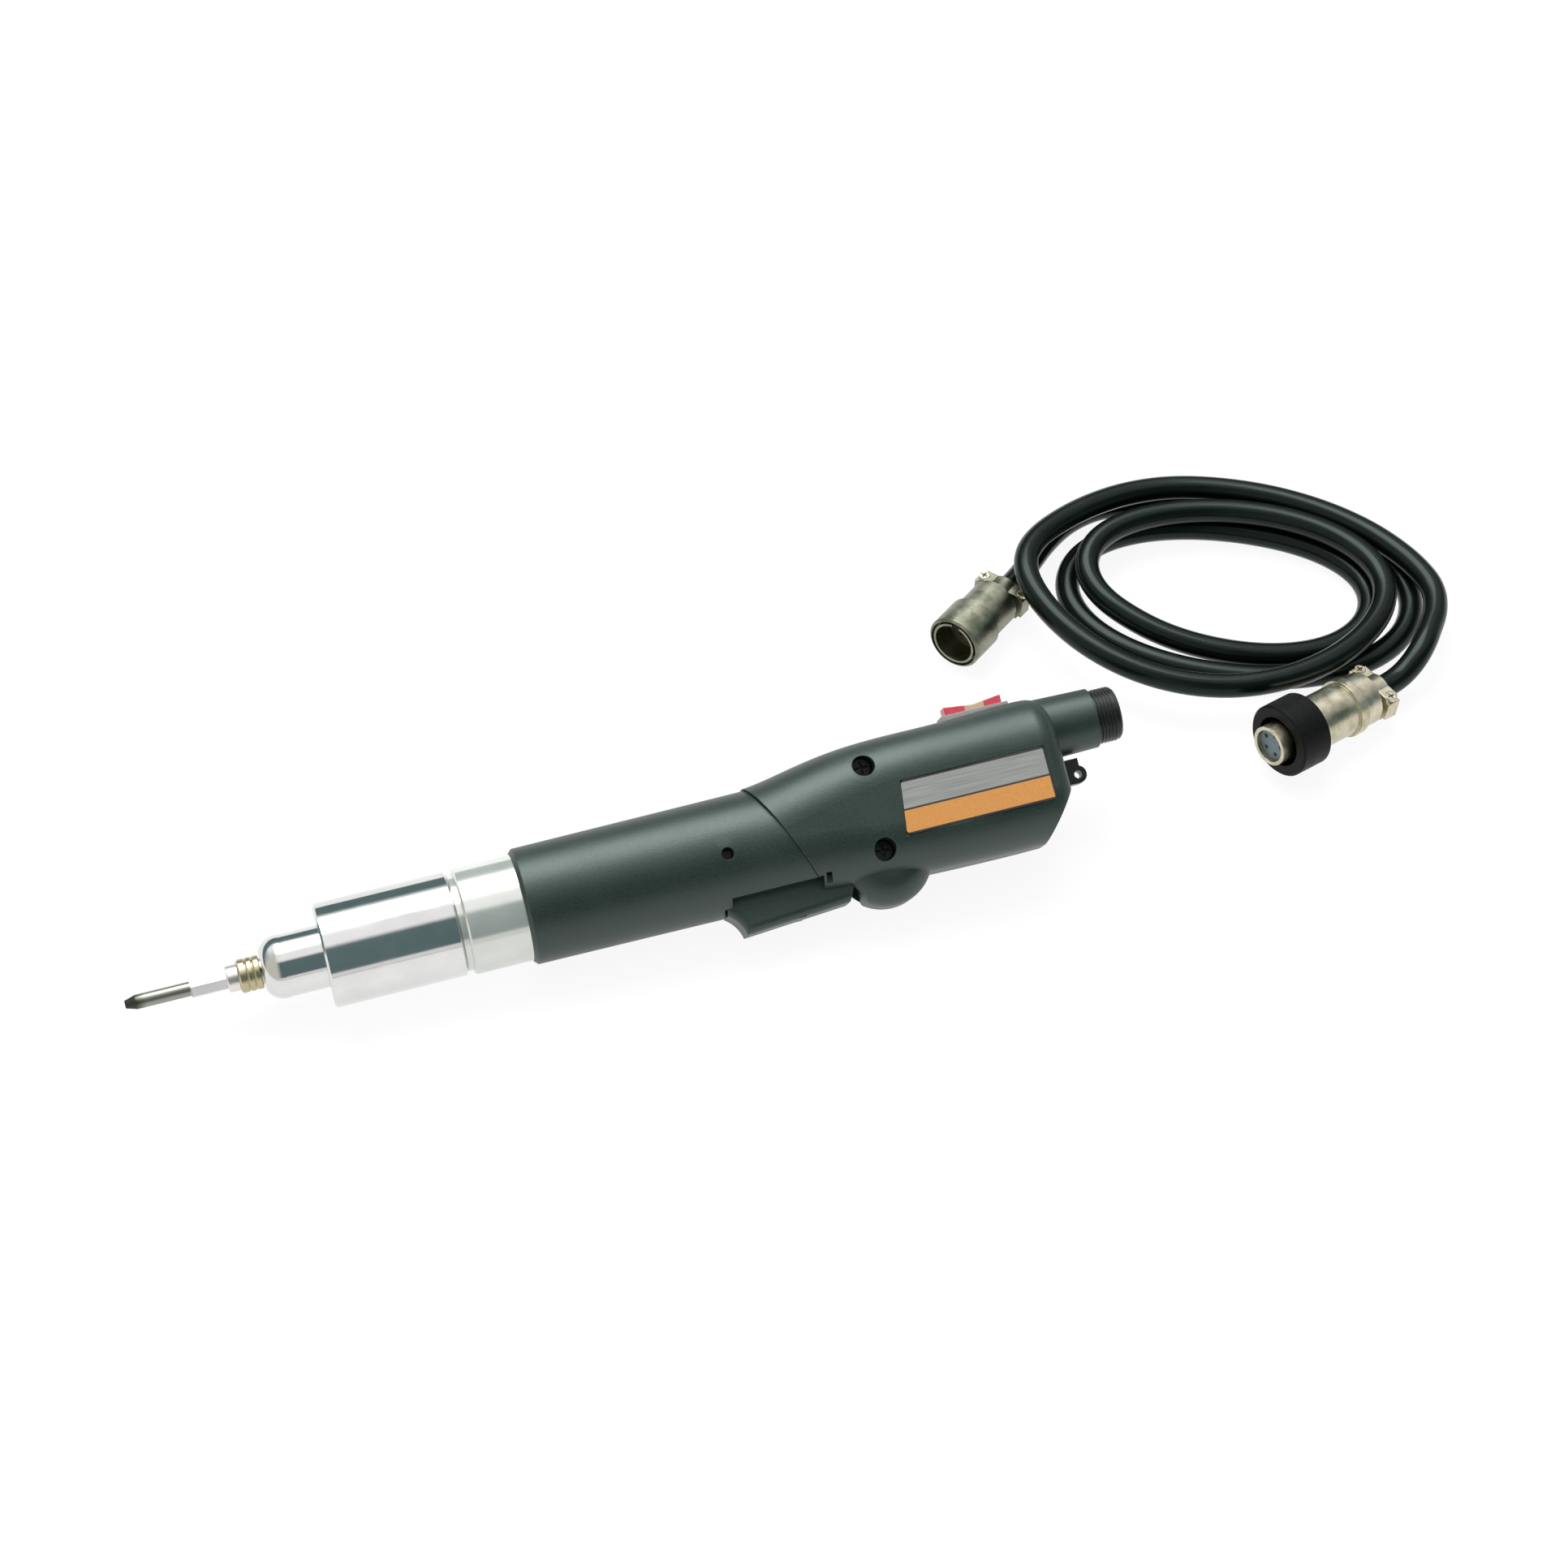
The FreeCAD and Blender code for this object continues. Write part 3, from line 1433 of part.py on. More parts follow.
def make_connector_shell():
    radius = connector_diameter / 2
    body = connector_body_diameter / 2
    bore = connector_bore / 2
    flange = connector_flange_diameter / 2
    flange_x = housing_rear_x - housing_wall
    front = connector_rear_x() - connector_length
    return connector_turned([
        (front, bore),
        (front, body),
        (flange_x - connector_flange_thickness, body),
        (flange_x - connector_flange_thickness, flange),
        (flange_x, flange),
        (flange_x, body),
        (connector_thread_x(), body),
        (connector_thread_x(), radius),
        (connector_rear_x() - connector_bevel, radius),
        (connector_rear_x(), radius - connector_bevel),
        (connector_rear_x(), bore),
    ])


def insert_rear_x():
    return connector_rear_x() - connector_socket_depth


def contact_places(x, z):
    spot = Vector(x, 0, z + contact_circle / 2)
    places = []
    for index in range(contact_count):
        turn = Rotation(axis_x, 360.0 * index / contact_count)
        places.append(Vector(x, 0, z) + turn.multVec(spot - Vector(x, 0, z)))
    return places


def make_connector_insert():
    front = insert_rear_x() - connector_insert_length
    disc = rod(front, insert_rear_x(), connector_bore - 2 * running_gap)
    disc.translate(Vector(0, 0, connector_z))
    holes = [pin(place, axis_x, 2 * connector_insert_length, contact_diameter + 2 * running_gap)
             for place in contact_places(front - overrun, connector_z)]
    return disc.cut(holes)


def make_connector_pins():
    front = insert_rear_x() - connector_insert_length - contact_diameter
    length = insert_rear_x() + contact_reach - front
    return Part.makeCompound([pin(place, axis_x, length, contact_diameter)
                              for place in contact_places(front, connector_z)])


def eye_x():
    return housing_rear_x + eye_offset


def make_hanger_eye():
    radius = eye_outer_diameter / 2
    top_z = eye_z + eye_block_height
    block_x = housing_rear_x + eye_block_reach
    shoulder_z = eye_z + math.sqrt(radius ** 2 - (block_x - eye_x()) ** 2)
    shape = slab([
        (housing_rear_x, top_z),
        (block_x, top_z),
        (block_x, shoulder_z),
        ((eye_x() + radius, eye_z), (eye_x(), eye_z - radius)),
        (housing_rear_x, eye_z - radius),
    ], -eye_thickness / 2, eye_thickness / 2)
    return shape.cut(pin(Vector(eye_x(), -eye_thickness, eye_z), axis_y,
                         2 * eye_thickness, eye_hole_diameter))


def laid_tool(shapes):
    """Lays the upright pieces on the floor and centres them over the origin."""
    rest = math.radians(-roll)
    width, _, bottom, corner = housing_sizes(-2)
    rear_support = (width - corner) * math.sin(rest) + (bottom - corner) * math.cos(rest) + corner
    reach = housing_rear_x * housing_station_shares[-2] - torque_front_x
    pitch = math.degrees(math.atan2(rear_support - torque_ring_diameter / 2, reach))
    lean = Placement(centre, Rotation(axis_y, -pitch)).multiply(Placement(centre, Rotation(axis_x, roll)))
    bounds = FreeCAD.BoundBox()
    for shape in shapes:
        shape.Placement = lean.multiply(shape.Placement)
        bounds.add(shape.optimalBoundingBox(False))
    shift = Vector(-bounds.Center.x, -bounds.Center.y, -bounds.ZMin)
    for shape in shapes:
        shape.translate(shift)
    return Placement(shift, Rotation()).multiply(lean)


def ease(share):
    """Smooth step from zero to one."""
    share = min(1.0, max(0.0, share))
    return share * share * (3 - 2 * share)


def swell(turn, middle_share, reach_share):
    """Smooth hump of height one around a share of the coil's turns."""
    return 1 - ease(abs(turn / coil_turns - middle_share) / reach_share)


def coil_point(turn):
    """Centre of the cord after a number of turns: in on the floor, then out again on top."""
    angle = math.radians(coil_start - 360 * turn)
    half = coil_turns / 2
    inward = half - abs(turn - half)
    out_along = swell(turn, coil_lift_share, coil_swing_reach_share) * coil_swing_length
    out_across = swell(turn, coil_swing_share, coil_swing_reach_share) * coil_swing_width
    along = (coil_half_length - inward * coil_length_pitch + out_along) * math.cos(angle)
    across = (coil_half_width - inward * coil_width_pitch + out_across) * math.sin(angle)
    layer = ease(2 * (turn - half) + 1 / 2) * (cord_diameter + coil_layer_gap)
    lift = swell(turn, coil_lift_share, coil_lift_reach_share) * coil_lift
    heading = Rotation(axis_z, coil_heading)
    return heading.multVec(Vector(along, across, cord_radius + layer + lift)) + Vector(coil_x, coil_y, 0)


def coil_way(turn):
    way = coil_point(turn + coil_probe_share) - coil_point(turn - coil_probe_share)
    if turn in (0, coil_turns):
        way.z = 0
    return way.normalize()


def coil_stations():
    count = round(coil_turns * coil_steps_per_turn)
    return [coil_turns * index / count for index in range(count + 1)]


def make_cable_coil():
    turns = coil_stations()
    points = [coil_point(turn) for turn in turns]
    return wound(points, [coil_way(turn) for turn in turns], cord_diameter, cord_diameter)


def coil_ends():
    """The two end faces of the coil and the way the cord leaves through each."""
    first = coil_point(0) - coil_way(0) * cord_diameter
    last = coil_point(coil_turns) + coil_way(coil_turns) * cord_diameter
    return (first, coil_way(0) * -1), (last, coil_way(coil_turns))


def bent(points, diameter):
    """Round tube on straight runs joined by tangent arcs."""
    edges = []
    radii = []
    last = points[0]
    for before, corner, after in zip(points, points[1:], points[2:]):
        back = (before - corner).normalize()
        ahead = (after - corner).normalize()
        cut = bend_cut_share * min(before.distanceToPoint(corner), corner.distanceToPoint(after))
        half_turn = (math.pi - back.getAngle(ahead)) / 2
        radii.append(round(cut / math.tan(half_turn), 1))
        start = corner + back * cut
        end = corner + ahead * cut
        edges.append(Part.LineSegment(last, start).toShape())
        edges.append(half_arc(start, corner, end))
        last = end
    edges.append(Part.LineSegment(last, points[-1]).toShape())
    print("bend radii", radii, "over diameter", diameter)
    return swept(edges, points[0], (points[1] - points[0]).normalize(), diameter)


def lead_points(plug, coil_end, run, corners, handle_shares):
    """Route from a plug's cord entry to an end of the coil."""
    entry = plug.Base
    entry_way = plug.Rotation.multVec(axis_x) * -1
    target, target_way = coil_end
    first = entry + entry_way * run
    last = target + target_way * run
    span = first.distanceToPoint(last)
    near, far = handle_shares
    curve = Part.BezierCurve()
    curve.setPoles([first, first + entry_way * (span * near), last + target_way * (span * far), last])
    inner = [curve.value((index + 1) / (corners + 1)) for index in range(corners)]
    return [entry, first] + inner + [last, target]


def plug_place(x, y, heading, rear, rear_radius, front, front_radius):
    """Plug lying on two of its rims, with its cord entry at x, y."""
    tilt = math.atan2(front_radius - rear_radius, front - rear)
    height = rear_radius / math.cos(tilt) - rear * math.tan(tilt)
    turn = Rotation(axis_z, heading).multiply(Rotation(axis_y, -math.degrees(tilt)))
    return Placement(Vector(x, y, height + running_gap), turn)


def plug_a_sleeve_x():
    return plug_barrel_x + plug_a_barrel_length


def plug_a_face():
    return plug_a_sleeve_x() + plug_a_sleeve_length


def plug_a_place():
    return plug_place(plug_a_x, plug_a_y, plug_a_heading, plug_barrel_x, plug_a_barrel_diameter / 2,
                      plug_a_sleeve_x() + running_gap, plug_a_sleeve_diameter / 2)


def plug_a_spigot_front():
    return plug_a_face() - plug_a_cavity_depth - plug_a_insert_thickness - seat_gap


def make_plug_a_shell():
    neck = plug_neck_diameter / 2
    barrel = plug_a_barrel_diameter / 2
    spigot = plug_a_cavity_diameter / 2 - seat_gap
    return turned([
        (0, 0),
        (0, neck),
        (plug_neck_length, neck),
        (plug_barrel_x, barrel),
        (plug_a_sleeve_x(), barrel),
        (plug_a_sleeve_x(), spigot),
        (plug_a_spigot_front(), spigot),
        (plug_a_spigot_front(), 0),
    ])


def make_plug_a_sleeve():
    radius = plug_a_sleeve_diameter / 2
    inner = plug_a_cavity_diameter / 2
    rear = plug_a_sleeve_x() + running_gap
    sleeve = turned([
        (rear, inner),
        (rear, radius),
        (plug_a_face() - plug_bevel, radius),
        (plug_a_face(), radius - plug_bevel),
        (plug_a_face(), inner),
    ])
    half_key = plug_a_key_width / 2
    key = box((plug_a_face() - plug_a_cavity_depth, plug_a_face() + overrun), (-half_key, half_key),
              (0, inner + seat_gap + running_gap + plug_bevel))
    groove = tube(plug_a_face() - plug_a_groove_depth, plug_a_face() + overrun, plug_a_groove_diameter,
                  plug_a_groove_diameter - 2 * plug_a_groove_width)
    return sleeve.cut([key, groove])


def plug_insert(front, rear, diameter):
    disc = rod(front, rear, diameter)
    holes = [pin(place, axis_x, rear - front, contact_diameter + 2 * seat_gap)
             for place in contact_places(front + (rear - front) / 2, 0)]
    return disc.cut(holes)


def make_plug_a_insert():
    front = plug_a_spigot_front() + running_gap
    return plug_insert(front, front + plug_a_insert_thickness, plug_a_cavity_diameter - 2 * running_gap)


def plug_b_flange_rear():
    return plug_barrel_x + plug_b_barrel_length + plug_b_flange_thickness


def plug_b_ring_x():
    return plug_b_flange_rear() + swing_gap


def plug_b_face():
    return plug_b_ring_x() + plug_b_ring_length + plug_b_tube_reach


def plug_b_place():
    collar = plug_barrel_x + plug_b_collar_offset
    return plug_place(plug_b_x, plug_b_y, plug_b_heading, collar, plug_b_collar_diameter / 2,
                      plug_b_ring_x(),
                      plug_b_ring_diameter / 2)


def make_plug_b_shell():
    neck = plug_neck_diameter / 2
    barrel = plug_b_barrel_diameter / 2
    collar = plug_b_collar_diameter / 2
    collar_x = plug_barrel_x + plug_b_collar_offset
    flange_x = plug_barrel_x + plug_b_barrel_length
    outer = plug_b_tube_diameter / 2
    shoulder_x = plug_b_ring_x() + plug_b_ring_wall + swing_gap
    bore = plug_b_tube_bore / 2
    return turned([
        (0, 0),
        (0, neck),
        (plug_neck_length, neck),
        (plug_barrel_x, barrel),
        (collar_x, barrel),
        (collar_x, collar),
        (collar_x + plug_b_collar_width, collar),
        (collar_x + plug_b_collar_width, barrel),
        (flange_x, barrel),
        (flange_x, plug_b_flange_diameter / 2),
        (plug_b_flange_rear(), plug_b_flange_diameter / 2),
        (plug_b_flange_rear(), outer),
        (shoulder_x, outer),
        (shoulder_x, outer + plug_b_shoulder_height),
        (shoulder_x + plug_b_shoulder_width, outer + plug_b_shoulder_height),
        (shoulder_x + plug_b_shoulder_width, outer),
        (plug_b_face(), outer),
        (plug_b_face(), bore),
        (plug_b_flange_rear(), bore),
        (plug_b_flange_rear(), 0),
    ])


def make_plug_b_ring():
    radius = plug_b_ring_diameter / 2
    front = plug_b_ring_x()
    rear = front + plug_b_ring_length
    hole = plug_b_tube_diameter / 2 + seat_gap
    bore = plug_b_ring_bore / 2
    return turned([
        (front, hole),
        (front, radius - plug_bevel),
        (front + plug_bevel, radius),
        (rear - plug_bevel, radius),
        (rear, radius - plug_bevel),
        (rear, bore),
        (front + plug_b_ring_wall, bore),
        (front + plug_b_ring_wall, hole),
    ])


def make_plug_b_insert():
    return plug_insert(plug_b_flange_rear() + running_gap, plug_b_face() - plug_b_insert_recess,
                       plug_b_tube_bore - 2 * running_gap)


def lead_a_points():
    return lead_points(plug_a_place(), coil_ends()[0], lead_a_run, lead_a_corners, lead_a_handle_shares)


def lead_b_points():
    return lead_points(plug_b_place(), coil_ends()[1], lead_b_run, lead_b_corners, lead_b_handle_shares)


def make_clamp():
    front = (plug_neck_length - clamp_length) / 2
    block = box((front, front + clamp_length), (-clamp_half_width, clamp_half_width),
                (-clamp_half_height, clamp_half_height))
    block = block.fuse(rod(front, front + clamp_length, plug_neck_diameter + 4 * clamp_screw_head_height))
    height = clamp_half_height + clamp_screw_head_height
    block = block.common(box((front, front + clamp_length),
                             (-clamp_half_width, clamp_half_width), (-height, height)))
    block = block.cut(rod(front - overrun, front + clamp_length + overrun,
                          plug_neck_diameter + 2 * running_gap))
    for side in (-1, 1):
        hole = pin(Vector(plug_neck_length / 2, side * clamp_screw_offset, -height), axis_z, 2 * height,
                   clamp_screw_diameter + 2 * running_gap)
        seat = pin(Vector(plug_neck_length / 2, side * clamp_screw_offset, clamp_half_height), axis_z,
                   height, clamp_screw_head_diameter + 2 * seat_gap)
        block = block.cut([hole, seat])
    return block


def make_clamp_screws():
    screws = []
    for place in (plug_a_place(), plug_b_place()):
        for side in (-1, 1):
            point = Vector(plug_neck_length / 2, side * clamp_screw_offset, clamp_half_height)
            shape = screw(point, -axis_z, 2 * clamp_half_height, clamp_screw_diameter,
                          clamp_screw_head_diameter, clamp_screw_head_height)
            shape.Placement = place.multiply(shape.Placement)
            screws.append(shape)
    return Part.makeCompound(screws)


def placed(shape, place):
    shape.Placement = place.multiply(shape.Placement)
    return shape


tool_makers = {
    "screwdriver_bit": make_bit,
    "retaining_balls": make_retaining_balls,
    "spindle": make_spindle,
    "sleeve_snap_ring": make_sleeve_snap_ring,
    "bit_sleeve": make_bit_sleeve,
    "sleeve_spring": make_sleeve_spring,
    "nose_cap": make_nose_cap,
    "front_bush": lambda: make_bush(nose_front_x + bush_lip),
    "rear_bush": lambda: make_bush(rear_bush_x()),
    "torque_ring": make_torque_ring,
    "clutch_housing": make_clutch_housing,
    "adjuster_nut": make_adjuster_nut,
    "clutch_spring": make_clutch_spring,
    "thrust_washer": make_thrust_washer,
    "clutch_balls": make_clutch_balls,
    "gear_housing": make_gear_housing,
    "ring_gear": make_ring_gear,
    "planet_carrier": make_planet_carrier,
    "planet_gear_1": lambda: make_planet_gear(0),
    "planet_gear_2": lambda: make_planet_gear(1),
    "planet_gear_3": lambda: make_planet_gear(2),
    "sun_pinion": make_sun_pinion,
    "motor_can": make_motor_can,
    "motor_magnets": make_motor_magnets,
    "motor_bearings": make_motor_bearings,
    "motor_shaft": make_motor_shaft,
    "armature_core": make_armature_core,
    "armature_winding": make_armature_winding,
    "commutator": make_commutator,
    "carbon_brushes": make_carbon_brushes,
    "brush_plate": make_brush_plate,
    "front_grip": make_front_grip,
    "rear_housing_left": lambda: housing_shell().common(half_space(-1)),
    "rear_housing_right": lambda: housing_shell().common(half_space(1)),
    "housing_screws": make_housing_screws,
    "label_plate": make_label_plate,
    "trigger_lever": make_trigger_lever,
    "lever_pivot_pin": make_lever_pivot_pin,
    "lever_spring": make_lever_spring,
    "start_switch": make_start_switch,
    "switch_plunger": make_switch_plunger,
    "direction_switch": make_direction_switch,
    "direction_rocker": make_direction_rocker,
    "circuit_board": make_circuit_board,
    "connector_shell": make_connector_shell,
    "connector_insert": make_connector_insert,
    "connector_pins": make_connector_pins,
    "hanger_eye": make_hanger_eye,
}


cable_makers = {
    "cable_lead_a": lambda: bent(lead_a_points(), cord_diameter),
    "cable_coil": make_cable_coil,
    "cable_lead_b": lambda: bent(lead_b_points(), cord_diameter),
    "plug_a_shell": lambda: placed(make_plug_a_shell(), plug_a_place()),
    "plug_a_sleeve": lambda: placed(make_plug_a_sleeve(), plug_a_place()),
    "plug_a_insert": lambda: placed(make_plug_a_insert(), plug_a_place()),
    "plug_a_clamp": lambda: placed(make_clamp(), plug_a_place()),
    "plug_b_shell": lambda: placed(make_plug_b_shell(), plug_b_place()),
    "plug_b_ring": lambda: placed(make_plug_b_ring(), plug_b_place()),
    "plug_b_insert": lambda: placed(make_plug_b_insert(), plug_b_place()),
    "plug_b_clamp": lambda: placed(make_clamp(), plug_b_place()),
    "clamp_screws": make_clamp_screws,
}


def coil_gap():
    """Least gap between two turns of the coil, measured on points along it."""
    count = round(coil_turns * gap_steps_per_turn)
    points = [coil_point(coil_turns * index / count) for index in range(count + 1)]
    least = cord_diameter
    for index, point in enumerate(points):
        for other in points[index + gap_steps_per_turn // 3:]:
            least = min(least, point.distanceToPoint(other) - cord_diameter)
    return least


def cord_length(shape):
    return shape.Volume / (math.pi * cord_radius ** 2)


def build():
    shapes = {name: maker() for name, maker in tool_makers.items()}
    lay = laid_tool(list(shapes.values()))
    for name, maker in cable_makers.items():
        shapes[name] = maker()
    return shapes, lay


if __name__ == "__main__":
    os.makedirs("parts", exist_ok=True)
    pieces, lay = build()
    print("tool lies at", lay)
    print("least gap in the coil", round(coil_gap(), 2))
    for name, shape in pieces.items():
        shape.exportStep(f"parts/{name}.step")
        if name.startswith("cable"):
            print(name, "length", round(cord_length(shape), 1))
        if not shape.isValid():
            print("not valid:", name)
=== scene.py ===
import json
import math

import bmesh
import bpy
from mathutils import Matrix, Vector


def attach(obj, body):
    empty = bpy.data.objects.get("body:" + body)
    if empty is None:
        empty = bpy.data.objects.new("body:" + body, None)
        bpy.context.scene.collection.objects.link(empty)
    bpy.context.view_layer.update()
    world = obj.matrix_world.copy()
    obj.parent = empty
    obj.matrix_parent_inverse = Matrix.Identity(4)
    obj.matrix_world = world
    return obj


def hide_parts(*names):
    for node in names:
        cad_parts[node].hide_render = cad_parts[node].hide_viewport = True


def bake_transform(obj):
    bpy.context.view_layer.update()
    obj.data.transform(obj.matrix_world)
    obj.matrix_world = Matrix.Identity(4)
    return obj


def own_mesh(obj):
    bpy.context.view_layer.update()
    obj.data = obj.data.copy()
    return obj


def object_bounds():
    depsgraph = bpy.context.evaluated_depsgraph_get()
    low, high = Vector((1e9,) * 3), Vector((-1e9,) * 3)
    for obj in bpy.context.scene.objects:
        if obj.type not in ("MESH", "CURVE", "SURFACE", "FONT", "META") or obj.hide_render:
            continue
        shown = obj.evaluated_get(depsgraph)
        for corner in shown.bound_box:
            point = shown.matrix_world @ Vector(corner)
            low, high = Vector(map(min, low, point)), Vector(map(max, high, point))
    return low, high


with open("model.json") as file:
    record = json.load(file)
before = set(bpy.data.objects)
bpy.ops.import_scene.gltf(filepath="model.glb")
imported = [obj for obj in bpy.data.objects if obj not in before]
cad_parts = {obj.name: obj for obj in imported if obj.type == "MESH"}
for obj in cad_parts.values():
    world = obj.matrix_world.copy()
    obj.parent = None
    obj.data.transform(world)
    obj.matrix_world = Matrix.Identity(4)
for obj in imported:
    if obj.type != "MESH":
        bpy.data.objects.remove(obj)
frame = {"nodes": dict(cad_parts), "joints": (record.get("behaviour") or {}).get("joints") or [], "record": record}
cad_low, cad_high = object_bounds()
nodes = frame["nodes"]
joints = {joint["name"]: joint for joint in frame["joints"]}
mm = 0.001

# The tool's own axes, read from its joints: X from bit to connector, Z towards the direction switch
tool_origin = Vector(joints["rotor_spin"]["pos_m"])
tool_x = Vector(joints["rotor_spin"]["axis"])
tool_y = Vector(joints["trigger_press"]["axis"])
tool_z = tool_x.cross(tool_y)
tool_turn = Matrix((tool_x, tool_y, tool_z)).transposed()
tool_place = Matrix.Translation(tool_origin) @ tool_turn.to_4x4()


# Camera at the photograph's angle
camera_azimuth = math.radians(-16.17)
camera_elevation = math.radians(50)
camera_target = Vector((0.04785, 0.01972, 0.02008))
camera_distance = 0.9973
camera_angle = math.radians(25)


def make_camera():
    data = bpy.data.cameras.new("camera")
    data.sensor_width = 36
    data.lens = data.sensor_width / 2 / math.tan(camera_angle / 2)
    data.clip_start = 0.01
    data.clip_end = 50
    camera = bpy.data.objects.new("camera", data)
    bpy.context.scene.collection.objects.link(camera)
    flat = math.cos(camera_elevation)
    back = Vector((math.sin(camera_azimuth) * flat, -math.cos(camera_azimuth) * flat,
                   math.sin(camera_elevation)))
    camera.location = camera_target + back * camera_distance
    camera.rotation_mode = "QUATERNION"
    camera.rotation_quaternion = (-back).to_track_quat("-Z", "Y")
    bpy.context.scene.camera = camera


# Cable: the route's points in millimetres, and the coil's formula
cord_diameter = 7.3
coil_middle = (201.5, 67.7)
coil_heading = math.radians(-24)
coil_half_length = 62.0
coil_half_width = 38.0
coil_length_pitch = 12.0
coil_width_pitch = 8.4
coil_turns = 3.319
coil_start = 105.0
coil_swing_length = 8.5
coil_swing_width = 16.5
coil_lift = 5.2
coil_layer_gap = 0.5
coil_swing_share = 0.80
coil_swing_reach_share = 0.13
coil_lift_share = 0.835
coil_lift_reach_share = 0.075
coil_points_per_turn = 24
# Where the turns leave the formula: middle and reach as shares of the coil, shift along and across it
coil_shifts = [
    (0.088, 0.070, -3.6, 0.0),
    (0.239, 0.080, 3.5, 0.0),
    (0.314, 0.080, 0.0, -2.6),
    (0.389, 0.070, -4.0, 0.0),
    (0.690, 0.080, -3.5, 0.0),
    (0.862, 0.046, 4.0, -7.0),
    (0.957, 0.042, 0.0, -3.3),
    (0.972, 0.027, -2.0, 0.0),
]
lead_a_points = [
    (136.1, 84.6, 7.04), (141.52, 88.99, 6.43), (147.04, 94.53, 5.79), (154.18, 101.84, 5.06),
    (163.2, 108.64, 4.37), (174.39, 112.68, 3.85), (188.02, 111.69, 3.65), (194.75, 109.76, 3.65),
]
lead_b_points = [
    (250.27, 31.09, 11.45), (247.26, 27.1, 11.45), (243.1, 22.96, 10.06), (238.24, 20.07, 7.61),
    (232.73, 17.78, 6.74), (228.1, 16.0, 7.37),
]


def ease(share):
    share = min(1.0, max(0.0, share))
    return share * share * (3 - 2 * share)


def swell(turn, middle_share, reach_share):
    return 1 - ease(abs(turn / coil_turns - middle_share) / reach_share)


def coil_point(turn):
    angle = math.radians(coil_start - 360 * turn)
    half = coil_turns / 2
    inward = half - abs(turn - half)
    out_along = swell(turn, coil_lift_share, coil_swing_reach_share) * coil_swing_length
    out_across = swell(turn, coil_swing_share, coil_swing_reach_share) * coil_swing_width
    along = (coil_half_length - inward * coil_length_pitch + out_along) * math.cos(angle)
    across = (coil_half_width - inward * coil_width_pitch + out_across) * math.sin(angle)
    for middle_share, reach_share, shift_along, shift_across in coil_shifts:
        along += swell(turn, middle_share, reach_share) * shift_along
        across += swell(turn, middle_share, reach_share) * shift_across
    layer = ease(2 * (turn - half) + 1 / 2) * (cord_diameter + coil_layer_gap)
    lift = swell(turn, coil_lift_share, coil_lift_reach_share) * coil_lift
    x = coil_middle[0] + along * math.cos(coil_heading) - across * math.sin(coil_heading)
    y = coil_middle[1] + along * math.sin(coil_heading) + across * math.cos(coil_heading)
    return x, y, cord_diameter / 2 + layer + lift


def make_cord():
    count = round(coil_turns * coil_points_per_turn)
    coil = [coil_point(coil_turns * index / count) for index in range(count + 1)]
    route = [Vector(point) * mm for point in lead_a_points + coil + lead_b_points]
    curve = bpy.data.curves.new("cable_cord", "CURVE")
    curve.dimensions = "3D"
    # The points carry the tube's radius, because the curve's box grows by it
    curve.bevel_depth = 1.0
    curve.bevel_resolution = 6
    curve.resolution_u = 5
    curve.use_fill_caps = True
    spline = curve.splines.new("NURBS")
    spline.points.add(len(route) - 1)
    for place, point in zip(spline.points, route):
        place.co = (*point, 1)
        place.radius = cord_diameter / 2 * mm
    spline.order_u = 3
    spline.use_endpoint_u = True
    cord = bpy.data.objects.new("cable_cord", curve)
    bpy.context.scene.collection.objects.link(cord)
    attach(cord, "body")
    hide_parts("cable_lead_a", "cable_coil", "cable_lead_b")
    cord.data.materials.append(materials["cord_rubber"])


# Shader helpers
def add(tree, kind, inputs=None, **settings):
    """Adds a node; inputs are sockets to link or values to set."""
    node = tree.nodes.new(kind)
    for key, value in settings.items():
        setattr(node, key, value)
    for key, value in (inputs or {}).items():
        if isinstance(value, bpy.types.NodeSocket):
            tree.links.new(value, node.inputs[key])
        else:
            node.inputs[key].default_value = value
    return node


def math_node(tree, operation, *values):
    return add(tree, "ShaderNodeMath", dict(enumerate(values)), operation=operation).outputs[0]


def place_coordinates(tree):
    return add(tree, "ShaderNodeTexCoord").outputs["Object"]


def tool_coordinates(tree):
    """Metres along the tool's own axes."""
    mapping = add(tree, "ShaderNodeMapping", {
        "Vector": place_coordinates(tree), "Location": tool_origin, "Rotation": tool_turn.to_euler("XYZ"),
    }, vector_type="TEXTURE")
    return mapping.outputs["Vector"]


def split(tree, vector):
    return add(tree, "ShaderNodeSeparateXYZ", {"Vector": vector}).outputs


def noise(tree, vector, scale, detail=2.0, roughness=0.5):
    return add(tree, "ShaderNodeTexNoise", {
        "Vector": vector, "Scale": scale, "Detail": detail, "Roughness": roughness,
    }).outputs["Fac"]


def spread(tree, value, low, high, start=0.3, end=0.7):
    """Maps a share from start to end onto low to high."""
    return add(tree, "ShaderNodeMapRange", {
        "Value": value, "From Min": start, "From Max": end, "To Min": low, "To Max": high,
    }).outputs["Result"]


def blend_colours(tree, factor, first, second):
    node = add(tree, "ShaderNodeMix", {"Factor": factor}, data_type="RGBA")
    for socket, value in ((node.inputs[6], first), (node.inputs[7], second)):
        if isinstance(value, bpy.types.NodeSocket):
            tree.links.new(value, socket)
        else:
            socket.default_value = (*value, 1)
    return node.outputs[2]


def raised(tree, height, distance, strength, normal=None):
    """Normal of a surface raised by height times distance, in metres."""
    inputs = {"Height": height, "Distance": distance, "Strength": strength}
    if normal is not None:
        inputs["Normal"] = normal
    return add(tree, "ShaderNodeBump", inputs).outputs["Normal"]


